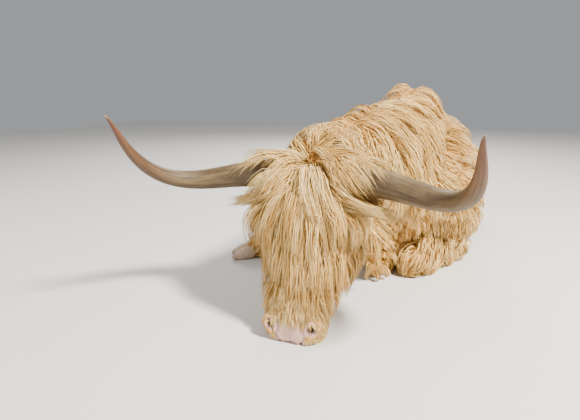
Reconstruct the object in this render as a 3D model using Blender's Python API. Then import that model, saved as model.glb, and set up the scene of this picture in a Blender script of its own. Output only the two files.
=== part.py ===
"""Highland cow lying on its chest with its head lowered and its muzzle on the ground.

A still, life-size model. Metres, +Z up. The cow faces -Y and its left side is +X. The floor is
z = 0 and the origin lies on the floor under the withers. The body is shaped whole, from lofted
masses, and parted into named nodes by thin cuts, so that each piece meets the next face to face.
"""

import math

import bmesh
import bpy
import numpy as np
from mathutils import Matrix, Vector

# Driving dimensions

GAP = 0.0003            # clearance between two nodes that touch
PLANE_GAP = 0.0004      # the same across a flat cut
VOXEL = 0.016           # grain at which the lofted masses are blended
SMOOTH_PASSES = 12
BODY_FACES = 9000
HEAD_KEEP = 0.08        # how much of the head's detail the thinning of the body spares

# Head frame: x to the cow's left, y into the skull, z up the face to the poll

HEAD_PLACE = Vector((-0.232, -0.745, 0.482))
HEAD_PITCH = math.radians(18.6)
HEAD_YAW = math.radians(1.2)
HEAD_MATRIX = (Matrix.Translation(HEAD_PLACE) @ Matrix.Rotation(HEAD_YAW, 4, "Z")
               @ Matrix.Rotation(-HEAD_PITCH, 4, "X"))

LEFT_HORN_RADIUS = 0.052
RIGHT_HORN_RADIUS = 0.048
HORN_TAPER = 0.85
EYE_PLACE = Vector((0.092, 0.012, -0.150))
EYE_RADIUS = 0.0205
EYE_AIM = Vector((0.90, -0.43, 0.05))
ORBIT_RADIUS = 0.030
LID_RINGS = [(0.004, 0.0150, 0.0100), (0.021, 0.0165, 0.0115), (0.110, 0.0440, 0.0400)]

# A ring is x, y, z, half width, half height, coat depth. The coat depth is skin to hair tips.

TRUNK = [
    (-0.020, -0.370, 0.340, 0.060, 0.090, 0.036),
    (-0.018, -0.335, 0.345, 0.110, 0.150, 0.040),
    (-0.012, -0.260, 0.355, 0.150, 0.220, 0.045),
    (-0.006, -0.150, 0.360, 0.178, 0.314, 0.054),
    (0.000, -0.010, 0.345, 0.200, 0.370, 0.066),
    (0.000, 0.130, 0.310, 0.212, 0.370, 0.056),
    (-0.022, 0.300, 0.290, 0.242, 0.322, 0.048),
    (-0.046, 0.500, 0.280, 0.270, 0.292, 0.046),
    (-0.070, 0.700, 0.273, 0.276, 0.278, 0.044),
    (-0.100, 0.870, 0.263, 0.250, 0.272, 0.042),
    (-0.128, 1.010, 0.252, 0.208, 0.256, 0.034),
    (-0.146, 1.090, 0.245, 0.148, 0.218, 0.032),
    (-0.154, 1.130, 0.240, 0.080, 0.150, 0.030),
]
BRISKET = [
    (-0.064, -0.432, 0.150, 0.026, 0.110, 0.034),
    (-0.064, -0.385, 0.156, 0.042, 0.162, 0.036),
    (-0.054, -0.240, 0.160, 0.064, 0.185, 0.038),
    (-0.025, -0.080, 0.150, 0.090, 0.190, 0.030),
    (0.000, 0.100, 0.120, 0.110, 0.160, 0.030),
]
NECK = [
    (0.000, -0.080, 0.450, 0.150, 0.235, 0.055),
    (-0.050, -0.260, 0.450, 0.145, 0.222, 0.055),
    (-0.110, -0.400, 0.442, 0.140, 0.205, 0.055),
    (-0.165, -0.520, 0.428, 0.128, 0.188, 0.052),
    (-0.205, -0.610, 0.415, 0.115, 0.170, 0.050),
    (-0.230, -0.690, 0.405, 0.098, 0.148, 0.040),
    (-0.234, -0.745, 0.415, 0.080, 0.120, 0.034),
]
HEAD = [
    (0.000, 0.030, 0.054, 0.060, 0.030, 0.050),
    (0.000, 0.030, 0.030, 0.092, 0.058, 0.052),
    (0.000, 0.038, -0.020, 0.104, 0.080, 0.058),
    (0.000, 0.055, -0.085, 0.106, 0.098, 0.064),
    (0.000, 0.078, -0.145, 0.106, 0.116, 0.064),
    (0.000, 0.086, -0.200, 0.096, 0.122, 0.056),
    (0.000, 0.072, -0.265, 0.082, 0.104, 0.046),
    (0.000, 0.052, -0.330, 0.078, 0.084, 0.034),
    (0.000, 0.036, -0.390, 0.088, 0.072, 0.020),
    (0.000, 0.022, -0.440, 0.100, 0.068, 0.010),
    (0.000, 0.014, -0.482, 0.101, 0.062, 0.006),
    (0.000, 0.012, -0.514, 0.084, 0.048, 0.004),
]
CHEEK = [
    (0.066, 0.110, -0.060, 0.030, 0.050, 0.060),
    (0.070, 0.135, -0.120, 0.034, 0.066, 0.074),
    (0.068, 0.145, -0.180, 0.034, 0.066, 0.076),
    (0.058, 0.125, -0.240, 0.028, 0.052, 0.070),
    (0.054, 0.092, -0.310, 0.026, 0.040, 0.056),
    (0.052, 0.062, -0.370, 0.022, 0.032, 0.036),
]
SHOULDER = [
    (0.065, 0.035, 0.580, 0.038, 0.065, 0.046),
    (0.125, -0.060, 0.490, 0.062, 0.115, 0.044),
    (0.165, -0.160, 0.385, 0.074, 0.118, 0.040),
    (0.178, -0.235, 0.300, 0.072, 0.100, 0.036),
]
UPPER_ARM = [
    (0.185, -0.215, 0.320, 0.070, 0.090, 0.038),
    (0.215, -0.090, 0.240, 0.072, 0.095, 0.035),
    (0.238, 0.030, 0.160, 0.062, 0.080, 0.032),
]
LEFT_FOREARM = [
    (0.226, 0.055, 0.118, 0.054, 0.064, 0.032),
    (0.184, -0.085, 0.100, 0.054, 0.058, 0.036),
    (0.128, -0.212, 0.082, 0.048, 0.050, 0.036),
    (0.080, -0.292, 0.070, 0.045, 0.044, 0.034),
    (0.062, -0.322, 0.066, 0.034, 0.034, 0.030),
]
LEFT_CANNON = [
    (0.090, -0.288, 0.045, 0.036, 0.036, 0.022),
    (0.172, -0.155, 0.036, 0.032, 0.032, 0.022),
    (0.238, -0.035, 0.036, 0.036, 0.036, 0.022),
    (0.260, 0.020, 0.036, 0.032, 0.032, 0.016),
]
RIGHT_ARM = [
    (-0.185, -0.215, 0.320, 0.070, 0.090, 0.038),
    (-0.215, -0.090, 0.240, 0.072, 0.095, 0.035),
    (-0.238, -0.005, 0.175, 0.062, 0.080, 0.032),
]
RIGHT_FOREARM = [
    (-0.235, 0.010, 0.165, 0.062, 0.080, 0.032),
    (-0.330, -0.080, 0.140, 0.056, 0.066, 0.032),
    (-0.415, -0.162, 0.112, 0.048, 0.052, 0.030),
    (-0.468, -0.213, 0.095, 0.047, 0.048, 0.028),
    (-0.512, -0.250, 0.080, 0.036, 0.038, 0.026),
    (-0.562, -0.288, 0.066, 0.032, 0.034, 0.024),
    (-0.602, -0.314, 0.060, 0.037, 0.038, 0.020),
    (-0.632, -0.332, 0.050, 0.034, 0.036, 0.012),
]
RIGHT_HAUNCH = [
    (-0.160, 0.960, 0.380, 0.105, 0.135, 0.034),
    (-0.280, 0.840, 0.340, 0.118, 0.160, 0.034),
    (-0.385, 0.680, 0.275, 0.100, 0.135, 0.034),
    (-0.440, 0.560, 0.220, 0.078, 0.100, 0.032),
    (-0.455, 0.520, 0.200, 0.050, 0.070, 0.030),
]
RIGHT_GASKIN = [
    (-0.450, 0.550, 0.190, 0.060, 0.075, 0.030),
    (-0.475, 0.700, 0.140, 0.052, 0.066, 0.028),
    (-0.485, 0.840, 0.100, 0.043, 0.054, 0.026),
    (-0.485, 0.930, 0.080, 0.041, 0.048, 0.026),
    (-0.485, 0.970, 0.074, 0.032, 0.038, 0.024),
]
RIGHT_SHANK = [
    (-0.500, 0.930, 0.050, 0.038, 0.042, 0.022),
    (-0.530, 0.820, 0.042, 0.033, 0.034, 0.022),
    (-0.555, 0.720, 0.042, 0.033, 0.034, 0.022),
    (-0.567, 0.665, 0.045, 0.038, 0.038, 0.020),
    (-0.573, 0.625, 0.042, 0.034, 0.036, 0.012),
]
LEFT_HAUNCH = [
    (0.000, 0.960, 0.350, 0.105, 0.135, 0.034),
    (0.115, 0.850, 0.285, 0.120, 0.160, 0.034),
    (0.205, 0.700, 0.215, 0.102, 0.135, 0.034),
    (0.240, 0.590, 0.170, 0.080, 0.100, 0.032),
    (0.246, 0.545, 0.155, 0.055, 0.070, 0.030),
]
LEFT_GASKIN = [
    (0.246, 0.570, 0.130, 0.058, 0.072, 0.030),
    (0.262, 0.720, 0.100, 0.050, 0.062, 0.028),
    (0.248, 0.860, 0.080, 0.043, 0.052, 0.026),
    (0.228, 0.950, 0.070, 0.041, 0.046, 0.026),
    (0.218, 0.985, 0.066, 0.032, 0.038, 0.024),
]
LEFT_SHANK = [
    (0.240, 0.920, 0.044, 0.036, 0.038, 0.022),
    (0.254, 0.780, 0.042, 0.033, 0.034, 0.022),
    (0.260, 0.640, 0.042, 0.033, 0.034, 0.022),
    (0.262, 0.540, 0.042, 0.033, 0.034, 0.022),
    (0.264, 0.490, 0.045, 0.038, 0.038, 0.020),
    (0.266, 0.452, 0.042, 0.034, 0.036, 0.012),
]
TAIL = [
    (-0.110, 1.095, 0.440, 0.026, 0.026, 0.010),
    (-0.125, 1.170, 0.425, 0.026, 0.026, 0.012),
    (-0.140, 1.215, 0.350, 0.022, 0.022, 0.014),
    (-0.160, 1.225, 0.240, 0.019, 0.019, 0.018),
    (-0.190, 1.230, 0.130, 0.017, 0.017, 0.026),
    (-0.240, 1.232, 0.062, 0.015, 0.015, 0.034),
    (-0.320, 1.225, 0.040, 0.013, 0.013, 0.040),
    (-0.420, 1.200, 0.034, 0.011, 0.011, 0.040),
    (-0.510, 1.165, 0.028, 0.007, 0.007, 0.030),
    (-0.580, 1.130, 0.018, 0.003, 0.003, 0.012),
]

# Horns: a smooth curve each through the head frame, x outwards on its own side. The left is lower.

RIGHT_HORN = [(0.092, 0.000, -0.006), (0.275, 0.028, 0.032), (0.450, 0.035, -0.099),
              (0.540, -0.172, -0.096), (0.445, -0.335, 0.062), (0.466, -0.384, 0.078)]
LEFT_HORN = [(0.092, 0.000, -0.006), (0.275, 0.028, 0.030), (0.450, 0.035, -0.103),
             (0.530, -0.172, -0.102), (0.438, -0.335, 0.048), (0.456, -0.384, 0.056)]
HORN_STEPS = 16
HORN_SIDES = 9
HORN_TIP_RADIUS = 0.003

# Ear: rings along its length, as distance, half width, half depth

EAR_ROOT = Vector((0.092, 0.082, -0.050))
EAR_AIM = Vector((0.62, 0.58, -0.53)).normalized()
EAR_FACING = Vector((0.75, -0.62, -0.10))
EAR_RINGS = [(0.000, 0.016, 0.015), (0.028, 0.024, 0.020), (0.065, 0.045, 0.024), (0.110, 0.052, 0.022),
             (0.160, 0.034, 0.014), (0.193, 0.006, 0.005)]
EAR_WALL = 0.006

# Hair that fringes an ear: distance along it, which edge, length

EAR_FRINGE = [(0.060, 1, 0.130), (0.105, 1, 0.150), (0.150, 1, 0.130), (0.180, 0, 0.120), (0.120, -1, 0.085)]
FRINGE_WIDTH = 0.040

# Muzzle: the slit between the lips and the two nostrils, in the head frame

MOUTH_BOX = ((-0.150, 0.0185, -0.600), (0.150, 0.0215, -0.425))
NOSTRIL_PLACE = Vector((0.063, -0.037, -0.462))
NOSTRIL_AIM = Vector((0.62, -0.76, -0.20))
NOSTRIL_RINGS = [(-0.020, 0.004, 0.003), (-0.006, 0.009, 0.006), (0.012, 0.014, 0.009), (0.030, 0.018, 0.012)]

# Claw: rings from heel to toe, as distance, height of centre, half width, half height

CLAW_RINGS = [(0.000, 0.030, 0.013, 0.022), (0.018, 0.031, 0.020, 0.032), (0.048, 0.028, 0.0215, 0.033),
              (0.078, 0.018, 0.018, 0.024), (0.108, 0.006, 0.008, 0.010)]
CLAW_OFFSET = 0.0228
CLAW_SPLAY = math.radians(5)

# Feet: name, end of the leg, heading of the toes in plan, whether the sole faces up

FEET = [
    ("fore_right", (-0.644, -0.340), (-0.86, -0.51), False),
    ("fore_left", (0.260, 0.020), (0.38, 0.92), True),
    ("hind_right", (-0.573, 0.625), (-0.15, -0.99), False),
    ("hind_left", (0.266, 0.452), (0.04, -1.00), False),
]
CLAW_SINK = 0.026

# Long hair of the tail's end: ring of the tail that it leaves, how far it splays, length

SWITCH_HAIR = [(5, -0.5, 0.160), (5, 0.5, 0.170), (6, -0.35, 0.190), (6, 0.25, 0.190),
               (7, -0.45, 0.180), (7, 0.40, 0.170), (8, -0.10, 0.140)]
SWITCH_WIDTH = 0.046
TAIL_COAT_SHARE = 0.35  # how much of the tail's coat its core takes up

# Colours of the materials

COAT_COLOR = (0.62, 0.40, 0.19)
HORN_COLOR = (0.36, 0.26, 0.16)
HOOF_COLOR = (0.48, 0.34, 0.20)
EYE_COLOR = (0.02, 0.012, 0.008)

# Locks of the ears and tail

LOCK_STEPS = 3
LOCK_THICKNESS = 0.12   # of a lock's width
LOCK_TIP_SHARE = 0.07

# Regions that part the body. Each is a box in a frame of its own, turned about x and then z.

HEAD_REAR = Matrix.Translation((0, 0.150, 0)) @ Matrix.Rotation(math.radians(21), 4, "X")
HEAD_BOX = ((-0.40, -0.50, -0.75), (0.40, 0.00, 0.30))
NECK_PLACE = ((-0.030, -0.300, 0.460), -26, -15)
NECK_BOX = ((-0.35, -0.80, -0.42), (0.30, 0.00, 0.45))
LEG_REGIONS = [
    ("foreleg_left", [((0.00, -0.35, -0.10), (0.36, 0.29, 0.215))], ((0.095, -0.120, 0), 0, -21.8)),
    ("foreleg_right", [((-0.09, 0.00, -0.40), (0.17, 0.70, 0.13))], ((-0.262, -0.025, 0.15), 0, 133.8)),
    ("hindleg_left", [((0.00, -0.30, -0.20), (0.40, 0.42, 0.42)), ((0.04, -0.44, -0.20), (0.40, -0.28, 0.10))],
     ((0.120, 0.750, 0), 0, 11.3)),
    ("hindleg_right", [((-0.40, -0.40, -0.20), (0.00, 0.40, 0.50))], ((-0.330, 0.750, 0), 0, -15)),
]
SWITCH_BOX = ((-1.000, 1.000, -0.100), (-0.215, 1.500, 0.300))


def clear_scene():
    for thing in list(bpy.data.objects):
        bpy.data.objects.remove(thing)


def add_object(name, mesh):
    """A new object, linked to the scene, that holds the mesh."""
    thing = bpy.data.objects.new(name, mesh)
    bpy.context.scene.collection.objects.link(thing)
    return thing


def mesh_from(name, points, faces):
    """An object from points and faces, with its faces turned outwards."""
    mesh = bpy.data.meshes.new(name)
    mesh.from_pydata([tuple(point) for point in points], [], faces)
    shape = bmesh.new()
    shape.from_mesh(mesh)
    bmesh.ops.triangulate(shape, faces=shape.faces)
    bmesh.ops.recalc_face_normals(shape, faces=shape.faces)
    shape.to_mesh(mesh)
    shape.free()
    return add_object(name, mesh)


def apply_modifiers(thing):
    """The object's evaluated mesh takes the place of its own."""
    graph = bpy.context.evaluated_depsgraph_get()
    mesh = bpy.data.meshes.new_from_object(thing.evaluated_get(graph))
    thing.modifiers.clear()
    thing.data = mesh


def ring_frames(centres, up):
    """A side and an upward axis at each centre, square to the path through them."""
    frames = []
    for i, centre in enumerate(centres):
        ahead = centres[min(i + 1, len(centres) - 1)] - centres[max(i - 1, 0)]
        ahead.normalize()
        side = ahead.cross(up).normalized()
        frames.append((centre, side, side.cross(ahead).normalized()))
    return frames


def loft(name, rings, up=(0, 0, 1), coat=1.0, narrow=0.0, square=2.0, sides=28, matrix=None):
    """A closed form through rings, out by a share of their coat depth.

    narrow pinches the top, square above 2 fills the corners.
    """
    matrix = matrix or Matrix.Identity(4)
    centres = [Vector(ring[:3]) for ring in rings]
    points = []
    for (centre, side, rise), ring in zip(ring_frames(centres, Vector(up)), rings):
        half_width = ring[3] + coat * ring[5]
        half_height = ring[4] + coat * ring[5]
        for k in range(sides):
            angle = 2 * math.pi * k / sides
            across = math.copysign(abs(math.cos(angle)) ** (2 / square), math.cos(angle))
            over = math.copysign(abs(math.sin(angle)) ** (2 / square), math.sin(angle))
            width = half_width * (1 - narrow * over)
            points.append(matrix @ (centre + side * (width * across) + rise * (half_height * over)))
    faces = [tuple(range(sides))]
    for i in range(len(rings) - 1):
        for k in range(sides):
            a = i * sides + k
            b = i * sides + (k + 1) % sides
            faces.append((a, b, b + sides, a + sides))
    last = (len(rings) - 1) * sides
    faces.append(tuple(range(last, last + sides)))
    return mesh_from(name, points, faces)


def join(name, things):
    """One object that holds the meshes of several, which are then removed."""
    shape = bmesh.new()
    for thing in things:
        shape.from_mesh(thing.data)
        bpy.data.objects.remove(thing)
    mesh = bpy.data.meshes.new(name)
    shape.to_mesh(mesh)
    shape.free()
    return add_object(name, mesh)


def blend(thing, voxel, passes):
    """Overlapping masses grow into one smooth skin."""
    remesh = thing.modifiers.new("Blend", "REMESH")
    remesh.mode = "VOXEL"
    remesh.voxel_size = voxel
    smooth = thing.modifiers.new("Smooth", "SMOOTH")
    smooth.factor = 0.5
    smooth.iterations = passes
    apply_modifiers(thing)


def thin_out(thing, faces):
    """Fewer triangles, with more of them left on the head."""
    spare = thing.vertex_groups.new(name="Spare")
    into_head = HEAD_MATRIX.inverted()
    for vertex in thing.data.vertices:
        local = into_head @ vertex.co
        if abs(local.x) < 0.2 and local.y < 0.2 and local.z < 0.1:
            spare.add([vertex.index], HEAD_KEEP, "REPLACE")
    thin = thing.modifiers.new("Thin", "DECIMATE")
    thin.vertex_group = "Spare"
    thin.invert_vertex_group = True
    thin.ratio = min(1.0, faces / (2 * len(thing.data.polygons)))
    apply_modifiers(thing)
    triangulate(thing)


def triangulate(thing):
    shape = bmesh.new()
    shape.from_mesh(thing.data)
    bmesh.ops.triangulate(shape, faces=shape.faces)
    shape.to_mesh(thing.data)
    shape.free()


def mirrored(rings):
    """The same rings on the other side of the body."""
    return [(-ring[0], *ring[1:]) for ring in rings]


def body_masses():
    """The flesh and coat of the trunk, neck, head and legs, each as a lofted form."""
    side_up = (1, 0, 0)
    face_up = (0, -1, 0)
    return [
        loft("Trunk", TRUNK, narrow=0.28, square=2.2),
        loft("Brisket", BRISKET, square=2.2),
        loft("Neck", NECK, narrow=0.10, square=2.1),
        loft("Head", HEAD, up=face_up, square=2.2, matrix=HEAD_MATRIX),
        orbit(1),
        orbit(-1),
        loft("LeftCheek", CHEEK, up=face_up, matrix=HEAD_MATRIX),
        loft("RightCheek", mirrored(CHEEK), up=face_up, matrix=HEAD_MATRIX),
        loft("LeftShoulder", SHOULDER, up=side_up),
        loft("RightShoulder", mirrored(SHOULDER), up=side_up),
        loft("LeftArm", UPPER_ARM),
        loft("RightArm", RIGHT_ARM),
        loft("LeftForearm", LEFT_FOREARM),
        loft("LeftCannon", LEFT_CANNON),
        loft("RightForearm", RIGHT_FOREARM),
        loft("RightHaunch", RIGHT_HAUNCH),
        loft("RightGaskin", RIGHT_GASKIN),
        loft("RightShank", RIGHT_SHANK),
        loft("LeftHaunch", LEFT_HAUNCH),
        loft("LeftGaskin", LEFT_GASKIN),
        loft("LeftShank", LEFT_SHANK),
    ]


def curve_point(route, t):
    """A point on the smooth curve that its control points draw, t from 0 to 1."""
    points = [Vector(point) for point in route]
    while len(points) > 1:
        points = [a.lerp(b, t) for a, b in zip(points, points[1:])]
    return points[0]


def horn(name, side, route, root_radius):
    """A tapering horn: out level, then forward, with its tip turned up."""
    centres = [curve_point(route, i / HORN_STEPS) for i in range(HORN_STEPS + 1)]
    travelled = [0.0]
    for a, b in zip(centres, centres[1:]):
        travelled.append(travelled[-1] + (b - a).length)
    rings = []
    for (x, y, z), length in zip(centres, travelled):
        radius = root_radius * (1 - length / travelled[-1]) ** HORN_TAPER + HORN_TIP_RADIUS
        rings.append((side * x, y, z, radius, radius, 0.0))
    return loft(name, rings, sides=HORN_SIDES, matrix=HEAD_MATRIX)


def ear_axes(side):
    """Where an ear starts, the way it points and the way its cup faces, in the head frame."""
    return [Vector((side * axis.x, axis.y, axis.z)) for axis in (EAR_ROOT, EAR_AIM, EAR_FACING)]


def ear(name, side):
    """A thick leaf that hangs back and down from behind the horn."""
    root, aim, facing = ear_axes(side)
    rings = [(*(root + aim * along), width, depth, 0.0) for along, width, depth in EAR_RINGS]
    return loft(name, rings, up=facing, sides=10, matrix=HEAD_MATRIX)


def hollow_ear(leaf, side):
    """Sink the cup into the ear's front."""
    root, aim, facing = ear_axes(side)
    rings = []
    for along, width, depth in EAR_RINGS[2:]:
        centre = root + aim * (along - 2 * EAR_WALL) + facing.normalized() * depth * 0.75
        rings.append((*centre, width - EAR_WALL, depth, 0.0))
    cup = loft("Cup", rings, up=facing, sides=10, matrix=HEAD_MATRIX)
    boolean(leaf, cup, "DIFFERENCE")
    bpy.data.objects.remove(cup)
    keep_largest(leaf)


def straggle(root, heading, facing, length, sag):
    """The route of a lock that hangs free of any surface."""
    heading = heading.normalized()
    steps = [step / LOCK_STEPS for step in range(LOCK_STEPS + 1)]
    return [(root + heading * (length * t) - Vector((0, 0, sag * t * t)), facing) for t in steps]


def fringe_ear(leaf, side, neighbours):
    """Long hair along the edges of an ear and off its tip, clear of what lies beside it."""
    others = [copy_of(neighbour, "Clearance") for neighbour in neighbours]
    for other in others:
        grow(other, GAP)
    root, aim, facing = ear_axes(side)
    across = aim.cross(facing).normalized()
    turn = HEAD_MATRIX.to_3x3()
    if (turn @ across).z > 0:
        across = -across
    widths = [ring[1] for ring in EAR_RINGS]
    starts = [ring[0] for ring in EAR_RINGS]
    locks = []
    for along, edge, length in EAR_FRINGE:
        inset = float(np.interp(along, starts, widths)) - 0.5 * EAR_WALL * (edge != 0) - 0.010
        place = HEAD_MATRIX @ (root + aim * along + across * edge * inset - facing.normalized() * EAR_WALL)
        heading = turn @ (aim * 0.8 + across * edge * 0.7) + Vector((0, 0, -0.5))
        route = straggle(place, heading, (turn @ facing).normalized(), length, 0.2 * length)
        strand = lock("Lock", route, FRINGE_WIDTH, LOCK_THICKNESS * FRINGE_WIDTH * 1.4)
        for other in others:
            if reach_each_other(strand, other):
                boolean(strand, other, "DIFFERENCE")
        if strand.data.polygons:
            locks.append(strand)
        else:
            bpy.data.objects.remove(strand)
    for other in others:
        bpy.data.objects.remove(other)
    fuse(leaf, locks)
    keep_largest(leaf)


def long_tail_hair(thing):
    """The switch: long locks along the end of the tail."""
    locks = []
    for index, splay, length in SWITCH_HAIR:
        centre = Vector(TAIL[index][:3])
        ahead = (Vector(TAIL[index + 1][:3]) - centre).normalized()
        heading = Matrix.Rotation(splay, 3, "Z") @ ahead
        place = centre + heading * TAIL[index][3] * 0.3
        rise = TAIL[index][3] * 0.4 * (1 + abs(splay))
        route = straggle(place + Vector((0, 0, rise)), heading, Vector((0, 0, 1)), length, 0.5 * centre.z)
        locks.append(lock("Lock", route, SWITCH_WIDTH, LOCK_THICKNESS * SWITCH_WIDTH * 1.6))
    fuse(thing, locks)


def nostril(side):
    """The hole of a nostril, as a cutter."""
    start = Vector((side * NOSTRIL_PLACE.x, NOSTRIL_PLACE.y, NOSTRIL_PLACE.z))
    aim = Vector((side * NOSTRIL_AIM.x, NOSTRIL_AIM.y, NOSTRIL_AIM.z)).normalized()
    rings = [(*(start + aim * along), width, height, 0.0) for along, width, height in NOSTRIL_RINGS]
    return loft("Nostril", rings, sides=8, matrix=HEAD_MATRIX)


def ball(name, side, radius, detail):
    """A ball at the place of an eye."""
    shape = bmesh.new()
    bmesh.ops.create_icosphere(shape, subdivisions=detail, radius=radius)
    mesh = bpy.data.meshes.new(name)
    shape.to_mesh(mesh)
    shape.free()
    place = Vector((side * EYE_PLACE.x, EYE_PLACE.y, EYE_PLACE.z))
    mesh.transform(HEAD_MATRIX @ Matrix.Translation(place))
    return add_object(name, mesh)


def orbit(side):
    """The swelling of the lids round an eye."""
    return ball("Orbit", side, ORBIT_RADIUS, 3)


def lid_opening(side):
    """The flare between the lids, out from the eye, as a cutter."""
    start = Vector((side * EYE_PLACE.x, EYE_PLACE.y, EYE_PLACE.z))
    aim = Vector((side * EYE_AIM.x, EYE_AIM.y, EYE_AIM.z)).normalized()
    rings = [(*(start + aim * along), width, height, 0.0) for along, width, height in LID_RINGS]
    return loft("Lids", rings, sides=10, matrix=HEAD_MATRIX)


def claw(name, end, heading, side, sole_up):
    """One of a foot's two claws, from heel to toe."""
    heading = Vector((*heading, 0)).normalized()
    across = Vector((-heading.y, heading.x, 0))
    aim = Matrix.Rotation(side * CLAW_SPLAY, 3, "Z") @ heading
    start = Vector((*end, 0)) - heading * CLAW_SINK + across * side * CLAW_OFFSET
    rings = []
    for along, height, half_width, half_height in CLAW_RINGS:
        centre = start + aim * along
        rise = CLAW_RINGS[0][1] * 2 - height if sole_up else height
        rings.append((centre.x, centre.y, rise, half_width, half_height, 0.0))
    return loft(name, rings, square=2.5, sides=10)


def boolean(thing, operand, operation, solver="MANIFOLD"):
    """Cut or join with another object, or with a whole collection, and apply it."""
    cut = thing.modifiers.new("Cut", "BOOLEAN")
    cut.operation = operation
    cut.solver = solver
    if isinstance(operand, bpy.types.Collection):
        cut.operand_type = "COLLECTION"
        cut.collection = operand
    else:
        cut.object = operand
    apply_modifiers(thing)
    triangulate(thing)


def copy_of(thing, name):
    return add_object(name, thing.data.copy())


def grow(thing, distance):
    """Move each point outwards along its normal."""
    normals = [vertex.normal.copy() for vertex in thing.data.vertices]
    for vertex, normal in zip(thing.data.vertices, normals):
        vertex.co += normal * distance


def cut_clear(thing, solid):
    """Cut a solid out of a node, with the gap that touching pieces keep."""
    cutter = copy_of(solid, "Cutter")
    grow(cutter, GAP)
    boolean(thing, cutter, "DIFFERENCE")
    bpy.data.objects.remove(cutter)


def box(name, low, high, matrix=None):
    """A box between two corners, placed by a matrix."""
    shape = bmesh.new()
    bmesh.ops.create_cube(shape, size=1.0)
    low = Vector(low)
    high = Vector(high)
    for vertex in shape.verts:
        vertex.co = Vector(low[k] + (vertex.co[k] + 0.5) * (high[k] - low[k]) for k in range(3))
    mesh = bpy.data.meshes.new(name)
    shape.to_mesh(mesh)
    shape.free()
    if matrix:
        mesh.transform(matrix)
    return add_object(name, mesh)


def keep_largest(thing):
    """Keep only the largest closed surface of an object's mesh, told apart across its edges."""
    shape = bmesh.new()
    shape.from_mesh(thing.data)
    unseen = set(shape.faces)
    islands = []
    while unseen:
        stack = [unseen.pop()]
        island = list(stack)
        while stack:
            for edge in stack.pop().edges:
                for face in edge.link_faces:
                    if face in unseen:
                        unseen.discard(face)
                        island.append(face)
                        stack.append(face)
        islands.append(island)
    islands.sort(key=area_of, reverse=True)
    for island in islands[1:]:
        bmesh.ops.delete(shape, geom=island, context="FACES")
    bmesh.ops.triangulate(shape, faces=shape.faces)
    shape.to_mesh(thing.data)
    shape.free()


def area_of(faces):
    return sum(face.calc_area() for face in faces)


def lock(name, route, width, thickness):
    """One flat, tapered lock: a low ridge along its back, flat beneath."""
    points = []
    for i, (centre, normal) in enumerate(route):
        ahead = (route[min(i + 1, len(route) - 1)][0] - route[max(i - 1, 0)][0]).normalized()
        across = ahead.cross(normal).normalized()
        rise = across.cross(ahead).normalized()
        t = i / (len(route) - 1)
        swell = math.sin(math.pi * (0.25 + 0.75 * t)) ** 0.9
        half = 0.5 * width * (LOCK_TIP_SHARE + (1 - LOCK_TIP_SHARE) * swell)
        height = thickness * (1 - 0.7 * t)
        points += [centre - across * half, centre + rise * height, centre + across * half]
    faces = [(0, 1, 2)]
    for i in range(len(route) - 1):
        for k in range(3):
            a = 3 * i + k
            b = 3 * i + (k + 1) % 3
            faces += [(a, b, b + 3), (a, b + 3, a + 3)]
    last = len(points) - 3
    faces.append((last, last + 1, last + 2))
    return mesh_from(name, points, faces)


def fuse(thing, pieces):
    """Join many closed pieces to a node in one union, and remove them."""
    strands = bpy.data.collections.new("Locks")
    bpy.context.scene.collection.children.link(strands)
    for piece in pieces:
        strands.objects.link(piece)
        bpy.context.scene.collection.objects.unlink(piece)
    boolean(thing, strands, "UNION")
    for piece in pieces:
        bpy.data.objects.remove(piece)
    bpy.data.collections.remove(strands)


def reach_each_other(thing, other):
    """Whether the boxes round two objects meet."""
    low, high = corners(thing)
    other_low, other_high = corners(other)
    return bool(np.all(low < other_high + GAP) and np.all(other_low < high + GAP))


def corners(thing):
    """The lowest and highest corner of the box round an object."""
    points = np.array([tuple(vertex.co) for vertex in thing.data.vertices])
    return points.min(axis=0), points.max(axis=0)


def part_off(whole, name, boxes, matrix):
    """The piece of the body inside some boxes becomes a node, and leaves the rest."""
    piece = copy_of(whole, name)
    region = joined_boxes(boxes, 0.0, matrix)
    boolean(piece, region, "INTERSECT")
    bpy.data.objects.remove(region)
    region = joined_boxes(boxes, PLANE_GAP, matrix)
    boolean(whole, region, "DIFFERENCE")
    bpy.data.objects.remove(region)
    keep_largest(piece)
    return piece


def joined_boxes(boxes, margin, matrix):
    """One solid from overlapping boxes, each grown by a margin."""
    solids = []
    for low, high in boxes:
        low = [value - margin for value in low]
        high = [value + margin for value in high]
        solids.append(box("Region", low, high, matrix))
    for other in solids[1:]:
        boolean(solids[0], other, "UNION")
        bpy.data.objects.remove(other)
    return solids[0]


def turned(place, about_x=0.0, about_z=0.0):
    """A matrix that puts a box's frame at a place, pitched and then turned, in degrees."""
    return (Matrix.Translation(place) @ Matrix.Rotation(math.radians(about_z), 4, "Z")
            @ Matrix.Rotation(math.radians(about_x), 4, "X"))


def paint(thing, color, roughness):
    """A plain material of the piece's own colour."""
    material = bpy.data.materials.new(thing.name)
    material.use_nodes = True
    shader = material.node_tree.nodes["Principled BSDF"]
    shader.inputs["Base Color"].default_value = (*color, 1.0)
    shader.inputs["Roughness"].default_value = roughness
    thing.data.materials.clear()
    thing.data.materials.append(material)


clear_scene()

body = join("torso", body_masses())
blend(body, VOXEL, SMOOTH_PASSES)
thin_out(body, BODY_FACES)
head = part_off(body, "head", [HEAD_BOX], HEAD_MATRIX @ HEAD_REAR)
neck = part_off(body, "neck", [NECK_BOX], turned(*NECK_PLACE))
legs = [part_off(body, name, boxes, turned(*place)) for name, boxes, place in LEG_REGIONS]
keep_largest(body)
flesh = [head, neck, *legs, body]

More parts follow.
